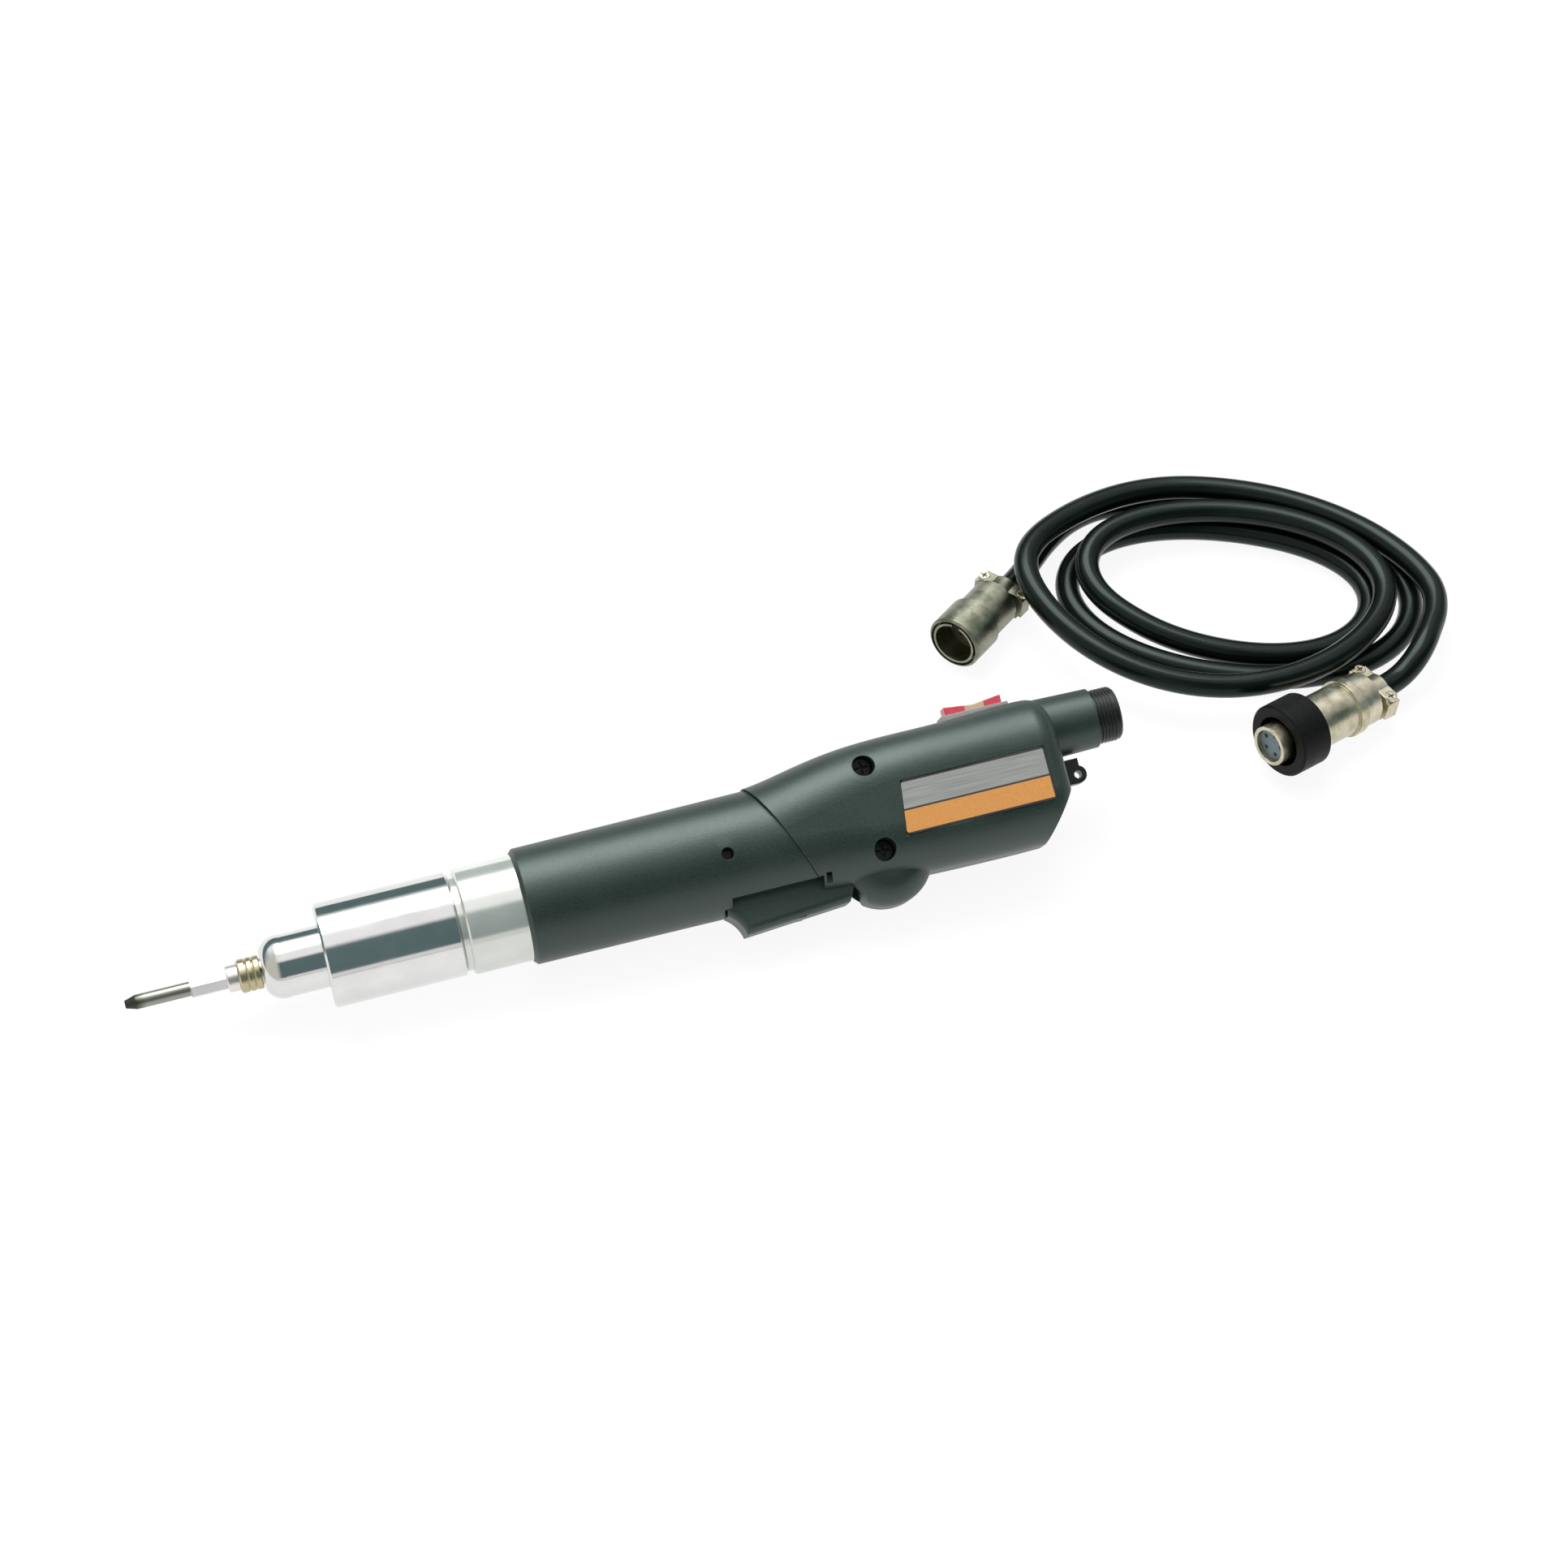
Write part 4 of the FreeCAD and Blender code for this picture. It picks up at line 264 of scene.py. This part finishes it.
def eased_edges(tree, radius):
    """Normal that rounds edges off by a radius in metres."""
    return add(tree, "ShaderNodeBevel", {"Radius": radius}, samples=4).outputs["Normal"]


# Agreement of the eased and the own normal where an edge is fully worn, and where it isn't at all
worn_agreement = (0.86, 0.995)


def worn_edges(tree, eased):
    """Share that rises where the eased normal leaves the face's own, which is along edges."""
    own = add(tree, "ShaderNodeNewGeometry").outputs["Normal"]
    agreement = add(tree, "ShaderNodeVectorMath", {0: eased, 1: own}, operation="DOT_PRODUCT")
    return spread(tree, agreement.outputs["Value"], 1.0, 0.0, *worn_agreement)


materials = {}


def start_material(name):
    material = bpy.data.materials.new(name)
    material.use_nodes = True
    material.node_tree.nodes.clear()
    materials[name] = material
    return material.node_tree


def end_material(tree, **inputs):
    """Closes a material with one principled shader; underscores in input names stand for spaces."""
    settings = {key.replace("_", " "): value for key, value in inputs.items()}
    for key in ("Base Color", "Specular Tint"):
        if key in settings and not isinstance(settings[key], bpy.types.NodeSocket):
            settings[key] = (*settings[key], 1)
    shader = add(tree, "ShaderNodeBsdfPrincipled", settings)
    output = add(tree, "ShaderNodeOutputMaterial")
    tree.links.new(shader.outputs["BSDF"], output.inputs["Surface"])


# Radius of the eased edges in metres
moulded_edge = 0.0004
turned_edge = 0.0002
plated_edge = 0.0003
film_edge = 0.0002

# Moulded plastic: shares of grain and patches in its tone, size of the patches in grains
grain_share = 0.65
patch_share = 0.35
patch_size = 40


def make_moulded(name, dark, light, worn, rough, grain_scale, grain_height, gloss, tint=(1.0, 1.0, 1.0)):
    """Moulded plastic with a fine eroded grain, uneven tone and edges rubbed lighter."""
    tree = start_material(name)
    place = place_coordinates(tree)
    grain = noise(tree, place, grain_scale, 3.0, 0.6)
    patches = noise(tree, place, grain_scale / patch_size, 3.0)
    mixed = math_node(tree, "ADD", math_node(tree, "MULTIPLY", grain, grain_share),
                      math_node(tree, "MULTIPLY", patches, patch_share))
    colour = blend_colours(tree, spread(tree, mixed, 0, 1, 0.35, 0.65), dark, light)
    eased = eased_edges(tree, moulded_edge)
    rubbed = math_node(tree, "MULTIPLY", worn_edges(tree, eased), spread(tree, patches, 0.15, 0.75))
    colour = blend_colours(tree, rubbed, colour, worn)
    end_material(tree, Base_Color=colour, Roughness=spread(tree, mixed, rough - 0.06, rough + 0.08),
                 Specular_IOR_Level=gloss, Specular_Tint=tint,
                 Normal=raised(tree, grain, grain_height, 0.8, eased))


# Smudges on turned metal: how much rougher they are, and their scale
smudge_rough = 0.05
smudge_scale = 90.0


def make_turned_metal(name, dark, light, rough, line_scale, line_height, tint=None, metallic=1.0):
    """Turned and plated metal: ring lines along the tool's axis, faint smudges, eased edges."""
    tree = start_material(name)
    place = tool_coordinates(tree)
    along = split(tree, place)["X"]
    lines = add(tree, "ShaderNodeTexNoise", {"W": along, "Scale": line_scale, "Detail": 3.0},
                noise_dimensions="1D").outputs["Fac"]
    smudges = noise(tree, place, smudge_scale, 4.0, 0.6)
    colour = blend_colours(tree, spread(tree, smudges, 0, 1), dark, light)
    if tint is not None:
        colour = tint(tree, along, colour)
    rougher = math_node(tree, "ADD", spread(tree, smudges, rough, rough + smudge_rough),
                        spread(tree, lines, 0.0, smudge_rough / 2))
    end_material(tree, Base_Color=colour, Metallic=metallic, Roughness=rougher,
                 Normal=raised(tree, lines, line_height, 0.25, eased_edges(tree, turned_edge)))


# Plated metal: pits across a blotch, and their depth in metres
pits_per_blotch = 14
pit_depth = 0.00001


def make_plated(name, dark, light, rough, blotch_scale):
    """Plated or cast metal with blotchy tone and fine pits."""
    tree = start_material(name)
    place = place_coordinates(tree)
    blotch = noise(tree, place, blotch_scale, 4.0, 0.6)
    pits = noise(tree, place, blotch_scale * pits_per_blotch, 2.0)
    colour = blend_colours(tree, spread(tree, blotch, 0, 1, 0.35, 0.65), dark, light)
    end_material(tree, Base_Color=colour, Metallic=1.0, Roughness=spread(tree, blotch, rough, rough + 0.14),
                 Normal=raised(tree, pits, pit_depth, 0.5, eased_edges(tree, plated_edge)))


def make_rubber():
    """Cord sheath: black rubber with a fine grain and a dusty bloom."""
    tree = start_material("cord_rubber")
    place = place_coordinates(tree)
    grain = noise(tree, place, 1600.0, 3.0, 0.6)
    bloom = noise(tree, place, 70.0, 3.0)
    colour = blend_colours(tree, spread(tree, grain, 0, 1), (0.0012, 0.0028, 0.0023), (0.0035, 0.0060, 0.0052))
    colour = blend_colours(tree, spread(tree, bloom, 0.0, 0.30, 0.5, 0.75), colour, (0.0070, 0.0115, 0.0100))
    end_material(tree, Base_Color=colour, Roughness=spread(tree, bloom, 0.22, 0.30),
                 Specular_IOR_Level=0.27, Specular_Tint=(0.80, 1.0, 0.93),
                 Normal=raised(tree, grain, 0.00001, 0.5))


# Where the bit's tip and its blade fade out, in metres along the tool
bit_tip_fade = (-0.1075, -0.1045)
bit_blade_fade = (-0.0926, -0.0918)


def bit_tint(tree, along, colour):
    """Blackened tip, grey blade, bright shank."""
    tip = spread(tree, along, 1.0, 0.0, *bit_tip_fade)
    blade = spread(tree, along, 1.0, 0.0, *bit_blade_fade)
    grey = blend_colours(tree, blade, colour, (0.32, 0.325, 0.28))
    return blend_colours(tree, tip, grey, (0.06, 0.066, 0.05))


# Label in metres: height of the line between its fields, front, rear, low and high edge, lean of the front
# edge, fades of the fields, of the line and of the border
label_split_z = -0.00095
label_edges = (0.1070, 0.1494, -0.0073, 0.0066)
label_front_lean = 0.13
label_field_fade = 0.00008
label_line_fade = (0.00022, 0.00032)
label_border_fade = (-0.00005, 0.00005)


def make_label():
    """Bare two-tone film: silver strip over an orange band, with a dark border."""
    tree = start_material("label")
    place = tool_coordinates(tree)
    axes = split(tree, place)
    fine = noise(tree, place, 2600.0, 2.0)
    brushed = add(tree, "ShaderNodeMapping", {"Vector": place, "Scale": (60.0, 60.0, 5200.0)})
    streaks = noise(tree, brushed.outputs["Vector"], 1.0, 3.0)
    silver = blend_colours(tree, spread(tree, streaks, 0, 1), (0.24, 0.245, 0.235), (0.40, 0.40, 0.385))
    orange = blend_colours(tree, spread(tree, fine, 0, 1), (0.66, 0.27, 0.060), (0.76, 0.35, 0.10))
    upper = spread(tree, axes["Z"], 0.0, 1.0, label_split_z - label_field_fade,
                   label_split_z + label_field_fade)
    colour = blend_colours(tree, upper, orange, silver)
    gap = math_node(tree, "ABSOLUTE", math_node(tree, "SUBTRACT", axes["Z"], label_split_z))
    colour = blend_colours(tree, spread(tree, gap, 1.0, 0.0, *label_line_fade), colour, (0.05, 0.045, 0.04))
    front, rear, low, high = label_edges
    leaning = math_node(tree, "SUBTRACT", axes["X"], math_node(tree, "MULTIPLY", axes["Z"], label_front_lean))
    outside = math_node(tree, "MAXIMUM", math_node(tree, "SUBTRACT", front, leaning),
                        math_node(tree, "SUBTRACT", axes["X"], rear))
    outside = math_node(tree, "MAXIMUM", outside, math_node(tree, "SUBTRACT", low, axes["Z"]))
    outside = math_node(tree, "MAXIMUM", outside, math_node(tree, "SUBTRACT", axes["Z"], high))
    border = spread(tree, outside, 0.0, 1.0, *label_border_fade)
    colour = blend_colours(tree, border, colour, (0.03, 0.03, 0.028))
    end_material(tree, Base_Color=colour, Roughness=spread(tree, streaks, 0.32, 0.45), Coat_Weight=0.35,
                 Coat_Roughness=0.2, Normal=raised(tree, fine, 0.000006, 0.5, eased_edges(tree, film_edge)))


# Rocker's painted highlight in metres, a pale band standing in for the gloss on its concave top: its middle along
# the tool, and the fade at half its length
painted_highlight_x = 0.1372
painted_highlight_fade = (0.0026, 0.0030)


def make_rocker():
    """Red rocker with a pale painted highlight across its middle, for the gloss on its concave top."""
    tree = start_material("rocker_red")
    place = tool_coordinates(tree)
    fine = noise(tree, place, 1500.0, 2.0)
    offset = math_node(tree, "SUBTRACT", split(tree, place)["X"], painted_highlight_x)
    painted_highlight = spread(tree, math_node(tree, "ABSOLUTE", offset), 1.0, 0.0, *painted_highlight_fade)
    red = blend_colours(tree, spread(tree, fine, 0, 1), (0.62, 0.050, 0.085), (0.72, 0.080, 0.120))
    # The pale tan here is a painted highlight over the rocker's middle, not a colour of its own
    colour = blend_colours(tree, painted_highlight, red, (0.62, 0.44, 0.28))
    end_material(tree, Base_Color=colour, Roughness=spread(tree, fine, 0.26, 0.36),
                 Normal=raised(tree, fine, 0.000008, 0.4, eased_edges(tree, moulded_edge)))


def make_winding():
    """Enamelled wire laid side by side."""
    tree = start_material("copper")
    place = tool_coordinates(tree)
    wires = add(tree, "ShaderNodeTexWave", {
        "Vector": place, "Scale": 700.0, "Distortion": 1.5, "Detail": 2.0,
    }, bands_direction="Y").outputs["Fac"]
    colour = blend_colours(tree, wires, (0.28, 0.09, 0.035), (0.75, 0.33, 0.15))
    end_material(tree, Base_Color=colour, Metallic=0.85, Roughness=spread(tree, wires, 0.28, 0.42),
                 Normal=raised(tree, wires, 0.00015, 0.8))


def make_board():
    """Circuit board laminate with solder mask and faint tracks."""
    tree = start_material("board")
    place = tool_coordinates(tree)
    tracks = add(tree, "ShaderNodeTexBrick", {
        "Vector": place, "Scale": 300.0, "Mortar Size": 0.03, "Color1": (0.012, 0.085, 0.03, 1),
        "Color2": (0.016, 0.10, 0.038, 1), "Mortar": (0.05, 0.22, 0.09, 1),
    }).outputs
    rough = spread(tree, noise(tree, place, 900.0), 0.3, 0.45)
    end_material(tree, Base_Color=tracks["Color"], Roughness=rough,
                 Normal=raised(tree, tracks["Fac"], 0.00004, 0.4))


def make_materials():
    # Dark, light and worn tone; roughness, scale and height of the grain, gloss
    make_moulded("housing_plastic", (0.0077, 0.0162, 0.0128), (0.0204, 0.034, 0.028), (0.060, 0.082, 0.075),
                 0.42, 2100.0, 0.00005, 0.80, tint=(0.84, 1.0, 0.95))
    make_moulded("black_plastic", (0.004, 0.005, 0.005), (0.009, 0.010, 0.009), (0.035, 0.033, 0.030),
                 0.36, 1600.0, 0.00003, 0.25)
    make_moulded("black_metal", (0.004, 0.006, 0.006), (0.009, 0.012, 0.011), (0.08, 0.08, 0.075),
                 0.32, 1100.0, 0.00001, 0.4)
    make_moulded("ring_black", (0.0025, 0.003, 0.003), (0.006, 0.0065, 0.006), (0.022, 0.022, 0.020),
                 0.46, 700.0, 0.00010, 0.15)
    make_moulded("socket_brown", (0.085, 0.070, 0.045), (0.15, 0.125, 0.080), (0.20, 0.17, 0.12),
                 0.4, 1200.0, 0.00002, 0.5)
    make_moulded("insulator", (0.13, 0.18, 0.20), (0.20, 0.26, 0.29), (0.32, 0.37, 0.40),
                 0.4, 1200.0, 0.00002, 0.5)
    make_moulded("pale_plastic", (0.29, 0.29, 0.285), (0.37, 0.37, 0.36), (0.48, 0.475, 0.46),
                 0.42, 1500.0, 0.00002, 0.5)
    make_moulded("carbon", (0.010, 0.010, 0.011), (0.022, 0.022, 0.023), (0.05, 0.05, 0.05),
                 0.6, 2400.0, 0.00004, 0.3)
    make_moulded("magnet", (0.030, 0.030, 0.032), (0.055, 0.055, 0.058), (0.10, 0.10, 0.10),
                 0.55, 1900.0, 0.00004, 0.4)
    # Dark and light tone; roughness, scale and height of the turning lines
    make_turned_metal("chromed_steel", (0.69, 0.685, 0.68), (0.77, 0.765, 0.76), 0.07, 5200.0, 0.000003)
    make_turned_metal("satin_coupling", (0.71, 0.725, 0.685), (0.80, 0.81, 0.775), 0.12, 5200.0, 0.000004,
                      metallic=0.6)
    make_turned_metal("tool_steel", (0.52, 0.52, 0.51), (0.66, 0.65, 0.64), 0.24, 6500.0, 0.000006)
    make_turned_metal("dark_can", (0.055, 0.055, 0.06), (0.09, 0.09, 0.095), 0.45, 3000.0, 0.000008)
    make_turned_metal("bit_steel", (0.78, 0.77, 0.77), (0.88, 0.87, 0.87), 0.32, 6500.0, 0.000006,
                      tint=bit_tint)
    make_turned_metal("nose_steel", (0.78, 0.71, 0.69), (0.88, 0.82, 0.80), 0.30, 6500.0, 0.000005)
    make_turned_metal("brass", (0.48, 0.42, 0.25), (0.63, 0.57, 0.39), 0.26, 6500.0, 0.000006)
    make_turned_metal("bronze", (0.42, 0.25, 0.11), (0.55, 0.35, 0.17), 0.34, 4000.0, 0.000008)
    make_turned_metal("spring_steel", (0.34, 0.34, 0.35), (0.46, 0.46, 0.46), 0.28, 6500.0, 0.000006)
    # Dark and light tone; roughness, scale of the blotches
    make_plated("nickel", (0.44, 0.40, 0.28), (0.72, 0.67, 0.53), 0.24, 210.0)
    make_plated("olive_nickel", (0.175, 0.195, 0.135), (0.38, 0.37, 0.29), 0.32, 190.0)
    make_rubber()
    make_label()
    make_rocker()
    make_winding()
    make_board()


# Nodes that don't wear the material of their slot
node_materials = {
    "housing_screws": "black_metal", "motor_can": "dark_can",
    "gear_housing": "satin_coupling", "screwdriver_bit": "bit_steel", "spindle": "nose_steel",
    "plug_a_shell": "olive_nickel", "plug_a_sleeve": "olive_nickel", "plug_a_clamp": "olive_nickel",
    "plug_a_insert": "socket_brown", "plug_b_ring": "ring_black", "clamp_screws": "nickel",
}


def dress_nodes():
    """Gives every carried-over node the material of its slot, or one of its own."""
    slots = {row["node"]: row["material_slot"] for row in frame["record"]["subparts"]}
    for name, node in nodes.items():
        material = materials[node_materials.get(name, slots[name])]
        node.data.materials.clear()
        node.data.materials.append(material)


# Springs squeezed along the tool's axis: the body and end that stay still, and the joint
squeezed_springs = {
    "sleeve_spring": ("spindle", min, "bit_sleeve_slide"),
    "clutch_spring": ("body", max, "adjuster_slide"),
}


def copy_spring(name):
    spring = bpy.data.objects.new(name + "_coils", nodes[name].data.copy())
    bpy.context.scene.collection.objects.link(spring)
    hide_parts(name)
    return spring


def make_springs():
    """Copies of the springs: each squeezed one attached to its body with a mesh of its own, the lever's baked in
    place.
    """
    for name, (body, still_end, joint_name) in squeezed_springs.items():
        spring = copy_spring(name)
        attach(spring, body)
        reaches = [vertex.co.dot(tool_x) for vertex in spring.data.vertices]
        tool_x * still_end(reaches)
        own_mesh(spring)
    spring = copy_spring("lever_spring")
    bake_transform(spring)


# Screw thread on the tool's connector, in the tool's own millimetres
thread_start_x = 170.1
thread_end_x = 175.7
thread_z = 13.6
thread_pitch = 1.0
thread_root_radius = 7.42
thread_crest_radius = 7.78
thread_root_half = 0.42
thread_crest_half = 0.10
thread_steps_per_turn = 60
thread_runout_turns = 0.4


def make_connector_thread():
    """One helical ridge that fades out at both ends."""
    turns = (thread_end_x - thread_start_x) / thread_pitch
    count = round(turns * thread_steps_per_turn)
    mesh = bmesh.new()
    rings = []
    for index in range(count + 1):
        turn = turns * index / count
        angle = 2 * math.pi * turn
        fade = ease(min(turn, turns - turn) / thread_runout_turns)
        crest = thread_root_radius + (thread_crest_radius - thread_root_radius) * fade
        x = thread_start_x + turn * thread_pitch
        profile = [(-thread_root_half, thread_root_radius), (-thread_crest_half, crest),
                   (thread_crest_half, crest), (thread_root_half, thread_root_radius)]
        ring = []
        for shift, radius in profile:
            point = Vector((x + shift, radius * math.cos(angle), thread_z + radius * math.sin(angle)))
            ring.append(mesh.verts.new(tool_place @ (point * mm)))
        rings.append(ring)
    for first, second in zip(rings, rings[1:]):
        for side in range(4):
            other = (side + 1) % 4
            mesh.faces.new((first[side], first[other], second[other], second[side]))
    mesh.faces.new(rings[0][::-1])
    mesh.faces.new(rings[-1])
    bmesh.ops.recalc_face_normals(mesh, faces=mesh.faces)
    data = bpy.data.meshes.new("connector_thread")
    mesh.to_mesh(data)
    mesh.free()
    thread = bpy.data.objects.new("connector_thread", data)
    bpy.context.scene.collection.objects.link(thread)
    data.materials.append(materials["black_metal"])
    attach(thread, "body")


# Floor: half its side in metres, its grey for bounced light, and shade and glow where it is seen
floor_half = 4.0
floor_bounce = (0.78, 0.78, 0.78, 1)
floor_shade = (0.115, 0.115, 0.115, 1)
floor_glow = 0.91


def make_floor():
    """White floor that shows a faint shadow."""
    mesh = bpy.data.meshes.new("floor")
    corners = [(-floor_half, -floor_half, 0), (floor_half, -floor_half, 0),
               (floor_half, floor_half, 0), (-floor_half, floor_half, 0)]
    mesh.from_pydata(corners, [], [(0, 1, 2, 3)])
    floor = bpy.data.objects.new("floor", mesh)
    floor.location.z = min(0.0, cad_low.z)
    bpy.context.scene.collection.objects.link(floor)
    tree = start_material("floor")
    seen = add(tree, "ShaderNodeLightPath").outputs
    direct = math_node(tree, "MAXIMUM", seen["Is Camera Ray"],
                       math_node(tree, "MAXIMUM", seen["Is Glossy Ray"], seen["Is Transmission Ray"]))
    plain = add(tree, "ShaderNodeBsdfDiffuse", {"Color": floor_bounce}).outputs[0]
    shade = add(tree, "ShaderNodeBsdfDiffuse", {"Color": floor_shade}).outputs[0]
    glow = add(tree, "ShaderNodeEmission", {"Color": (1, 1, 1, 1), "Strength": floor_glow}).outputs[0]
    white = add(tree, "ShaderNodeAddShader", {0: shade, 1: glow}).outputs[0]
    mixed = add(tree, "ShaderNodeMixShader", {0: direct, 1: plain, 2: white}).outputs[0]
    tree.links.new(mixed, add(tree, "ShaderNodeOutputMaterial").inputs["Surface"])
    mesh.materials.append(materials["floor"])


# Softbox over the part: direction from the origin, distance and side in metres, radiance
softbox_direction = Vector((0.05, 0.56, 1.0))
softbox_distance = 1.2
softbox_side = 0.85
softbox_radiance = 5.4


def make_softbox():
    data = bpy.data.lights.new("softbox", "AREA")
    data.shape = "RECTANGLE"
    data.size = data.size_y = softbox_side
    data.energy = softbox_radiance * math.pi * softbox_side * softbox_side
    lamp = bpy.data.objects.new("softbox", data)
    lamp.location = softbox_direction.normalized() * softbox_distance
    lamp.rotation_mode = "QUATERNION"
    lamp.rotation_quaternion = softbox_direction.to_track_quat("Z", "Y")
    bpy.context.scene.collection.objects.link(lamp)


# Surroundings: where each part fades in or out, in degrees from the front (0) over the top (90) to the back
ceiling_rise = (64, 72)
ceiling_fall = (142, 152)
strip_rise = (0, 1)
strip_fall = (8, 11)
glow_fall = (100, 130)
# The same along X, as shares of the direction
ceiling_dim = (0.55, 0.8)
glow_reach = (-0.45, -0.12)
wall_colour = (0.12, 0.18, 0.185)
ceiling_colour = (1.05, 1.05, 1.06)
strip_colour = (0.85, 0.84, 0.82)
glow_colour = (0.66, 0.67, 0.59)


def fade_degrees(tree, angle, low, high, fade):
    return spread(tree, angle, low, high, math.radians(fade[0]), math.radians(fade[1]))


def make_world():
    """Studio: dark walls, bright ceiling, low strip in front, glow on the left; white to the camera."""
    world = bpy.data.worlds.new("studio")
    bpy.context.scene.world = world
    world.use_nodes = True
    tree = world.node_tree
    tree.nodes.clear()
    axes = split(tree, add(tree, "ShaderNodeTexCoord").outputs["Generated"])
    angle = math_node(tree, "ARCTAN2", axes["Z"], math_node(tree, "MULTIPLY", axes["Y"], -1.0))
    rise = fade_degrees(tree, angle, 0.0, 1.0, ceiling_rise)
    fall = fade_degrees(tree, angle, 1.0, 0.0, ceiling_fall)
    strip = math_node(tree, "MULTIPLY", fade_degrees(tree, angle, 1.0, 0.0, strip_fall),
                      fade_degrees(tree, angle, 0.0, 1.0, strip_rise))
    side = spread(tree, math_node(tree, "ABSOLUTE", axes["X"]), 1.0, 0.35, *ceiling_dim)
    ceiling = math_node(tree, "MULTIPLY", math_node(tree, "MULTIPLY", rise, fall), side)
    glow = math_node(tree, "MULTIPLY", spread(tree, axes["X"], 1.0, 0.0, *glow_reach),
                     fade_degrees(tree, angle, 1.0, 0.0, glow_fall))
    studio = blend_colours(tree, ceiling, wall_colour, ceiling_colour)
    studio = blend_colours(tree, strip, studio, strip_colour)
    studio = blend_colours(tree, glow, studio, glow_colour)
    seen = add(tree, "ShaderNodeLightPath").outputs["Is Camera Ray"]
    colour = blend_colours(tree, seen, studio, (1.0, 1.0, 1.0))
    background = add(tree, "ShaderNodeBackground", {"Color": colour, "Strength": 1.0})
    tree.links.new(background.outputs[0], add(tree, "ShaderNodeOutputWorld").inputs["Surface"])


def make_stage():
    make_floor()
    make_softbox()
    make_world()
    bpy.context.scene.view_settings.view_transform = "Standard"


make_camera()
make_materials()
make_cord()
dress_nodes()
make_springs()
make_connector_thread()
make_stage()
